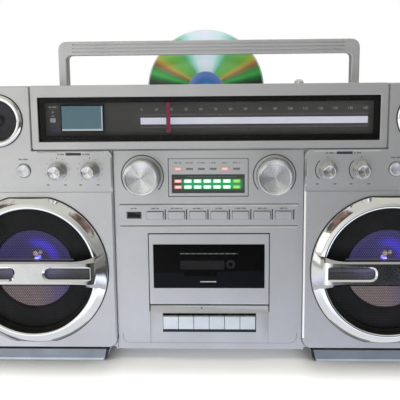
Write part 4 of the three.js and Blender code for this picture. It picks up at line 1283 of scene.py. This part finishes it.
def printing():
    """Ticks, arcs and rows of little bars where the real player has words."""
    bm = bmesh.new()
    panel = 0.0
    for node in BIG_KNOBS:
        spot = middle(node)
        arc(bm, spot.x, spot.z, 19.6, 1.0, -131, 131, CENTRE_FACE)
    for node in SMALL_KNOBS:
        spot = middle(node)
        if spot.x < 0:
            for k in range(11):
                turn = math.radians(-135 + 27 * k)
                x, z = spot.x + 11.6 * math.sin(turn), spot.z + 11.6 * math.cos(turn)
                long = 1.5 if k == 5 else 0.8
                dash(bm, x - 0.28, x + 0.28, z + long / 4, long, panel)
        else:
            arc(bm, spot.x, spot.z, 11.0, 0.9, -140, -40, panel)
            dash(bm, spot.x - 0.3, spot.x + 0.3, spot.z + 11.8, 1.6, panel)
        for off in (-9.2, 7.0):
            word(bm, spot.x + off - 1.2, spot.x + off + 2.4, spot.z - 13.0, 1.3, panel, 2)
    for sign in (-1, 1):
        for x0, x1 in ((139.5, 133.0), (116.0, 108.0)):
            first, last = sorted((sign * x0, sign * x1))
            word(bm, first, last, 200.0, 1.3, panel, 3)
        word(bm, sign * 171.5 - 4.5, sign * 171.5 + 4.5, 195.6, 1.3, panel, 1)
    for i in range(7):
        x = -50 + 20 * i
        wide = 3.5 + i * 5 % 3
        word(bm, x - wide, x + wide, 148.4, 1.2, CENTRE_FACE, i)
    word(bm, -73, -67, 148.4, 1.2, CENTRE_FACE, 2)
    dash(bm, -8.0, -6.4, 51.2, 1.5, 4.2)
    piece("panel_marks", bm, ink_dark, "cabinet", "silver")
    bm = bmesh.new()
    for sign in (-1, 1):
        first, last = sorted((sign * 131.8, sign * 117.4))
        dash(bm, first, last, 200.2, 2.5, panel)
    piece("panel_badges", bm, ink_badge, "cabinet", "silver")
    bm = bmesh.new()
    for i in range(6):
        if i != 2:
            x = 14.67 * (i - 2.5)
            word(bm, x - 1.6, x + 1.6, 50.4, 1.6, 4.25, i + 1)
    piece("key_marks", bm, ink_light, "cabinet", "silver")


# ---------------------------------------------------------------- disc, antenna and back


def disc():
    low, high = span("compact_disc")
    spot = middle("compact_disc")
    line = [(0, low.y + 0.35), (7.3, low.y + 0.35), (7.5, low.y + 0.05), (7.7, low.y), (16.9, low.y),
            (17.3, low.y + 0.12), (17.9, low.y), (59.8, low.y), (60, low.y + 0.1), (60, high.y - 0.1),
            (59.8, high.y), (7.7, high.y), (7.4, high.y - 0.3), (0, high.y - 0.3)]
    bm = solid(lathe, line, spot.x, spot.z, 200)
    piece("shiny_disc", bm, rainbow_disc(), "compact_disc", "disc", "compact_disc")


def antenna():
    for name, material in (("antenna_sleeve", steel), ("antenna_middle", chrome)):
        dress(name, material)
    low, high = span("antenna_tip")
    spot = middle("antenna_tip")
    line = [(0, low.z), (2.6, low.z), (2.6, 260.0), (4.9, 260.2), (4.9, 264.0), (3.4, 266.2), (0, high.z)]
    bm = solid(lathe, soft_profile(line, 0.8, 4), spot.x, spot.y, 40, lay=lambda a, along, b: (a, b, along))
    piece("antenna_cap", bm, chrome, body_of("antenna_tip"), "chrome", "antenna_tip")


def back():
    """The rear shell with its vents, screw pockets and a sunk border, and the battery door."""
    low, high = span("rear_cabinet")
    rear = high.y
    first = span("transformer")[0].x - 1
    cutters = []
    for i in range(9):
        x = first + 6.5 * i
        for z in (20.5, 44.0):
            line = rounded(rectangle(x - 1.2, x + 1.2, z, z + 19), 1.1, 4)
            cutters.append(solid(prism, line, rear - 4, rear + 1))
    screws = [(way * 237, z) for way in (-1, 1) for z in (26, 248)]
    for x, z in screws:
        cutters.append(solid(prism, circle(x, z, 5.2, 40), rear - 2.2, rear + 1))
    outer = rounded(rectangle(low.x + 16, high.x - 16, 114, high.z - 22), 6, 6)
    inner = rounded(rectangle(low.x + 17.4, high.x - 17.4, 115.4, high.z - 23.4), 5, 6)
    cutters.append(solid(band, outer, inner, rear - 0.9, rear + 1))
    refined("rear_cabinet", silver, "silver", 0.6, cutters=cutters, name="rear_shell")

    bm = bmesh.new()
    head = [(0, rear - 0.9), (2.6, rear - 0.9), (3.7, rear - 1.4), (3.7, rear - 2.3), (0, rear - 2.3)]
    for x, z in screws:
        slots = [solid(prism, rectangle(x - wide, x + wide, z - tall, z + tall), rear - 1.9, rear)
                 for wide, tall in ((0.55, 2.1), (2.1, 0.55))]
        screw = carve(solid(lathe, head, x, z, 32), *slots)
        mesh = bpy.data.meshes.new("screw")
        screw.to_mesh(mesh)
        screw.free()
        bm.from_mesh(mesh)
    piece("rear_screws", bm, steel, "cabinet", "steel")

    low, high = span("battery_door")
    cutters = []
    for i in range(13):
        x = -30 + 5 * i
        line = rounded(rectangle(x - 0.9, x + 0.9, high.z - 20, high.z - 6), 0.8, 3)
        cutters.append(solid(prism, line, high.y - 0.8, high.y + 1))
    for x0, x1 in ((-116, -44), (44, 116)):
        outer = rounded(rectangle(x0, x1, low.z + 9, high.z - 9), 4, 5)
        inner = rounded(rectangle(x0 + 1.2, x1 - 1.2, low.z + 10.2, high.z - 10.2), 3.2, 5)
        cutters.append(solid(band, outer, inner, high.y - 0.7, high.y + 1))
    refined("battery_door", silver, "silver", 0.4, cutters=cutters, name="battery_cover")
    battery_contacts(low, high)


def battery_contacts(low, high):
    """Plates and springs at the ends of the two rows of cells in the battery bay."""
    bm = bmesh.new()
    across = high.y - 22.4
    stud = [(0, 0.5), (5.5, 0.5), (5.5, 1.6), (4.6, 2.2), (0, 2.2)]
    for side in (-1, 1):
        wall = side * (high.x - 0.4)
        for row, z in enumerate((low.z * 0.75 + high.z * 0.25, low.z * 0.25 + high.z * 0.75)):
            box(bm, sorted((wall, wall - side * 0.5)), (across - 12, across + 12), (z - 12, z + 12))
            if (row == 0) == (side > 0):
                lathe(bm, stud, z, across, 32, lay=lambda a, out, b: (wall - side * out, b, a))
            else:
                spring(bm, wall - side * 0.9, -side, across, z)
    piece("battery_contacts", bm, steel, "cabinet", "steel")


def spring(bm, x, way, y, z, turns=4, steps=26, wire=0.55):
    """A conical coil spring along x."""
    rings = []
    for k in range(turns * steps + 1):
        share = k / (turns * steps)
        angle, radius = 2 * math.pi * k / steps, 9.5 - 4.5 * share
        spot = Vector((x + way * 9.0 * share, y + radius * math.cos(angle), z + radius * math.sin(angle)))
        out = Vector((0, math.cos(angle), math.sin(angle)))
        rings.append([spot + wire * (out * math.cos(t) + Vector((math.sin(t), 0, 0)))
                      for t in (2 * math.pi * i / 8 for i in range(8))])
    skin(bm, rings)


cabinet()
back()
handle()
dial()
pointer()
for side in SIDES:
    woofer(side)
    tweeter(side)
controls()
meter()
cassette()
printing()
disc()
antenna()
for node, material in (
    ("cassette_deck", steel), ("supply_spindle", black), ("take_up_spindle", black),
    ("capstan_flywheel", steel), ("tape_head", steel), ("deck_motor", steel), ("disc_drive", black),
    ("main_board", board_green), ("transformer", iron), ("mains_inlet", black),
):
    dress(node, material)
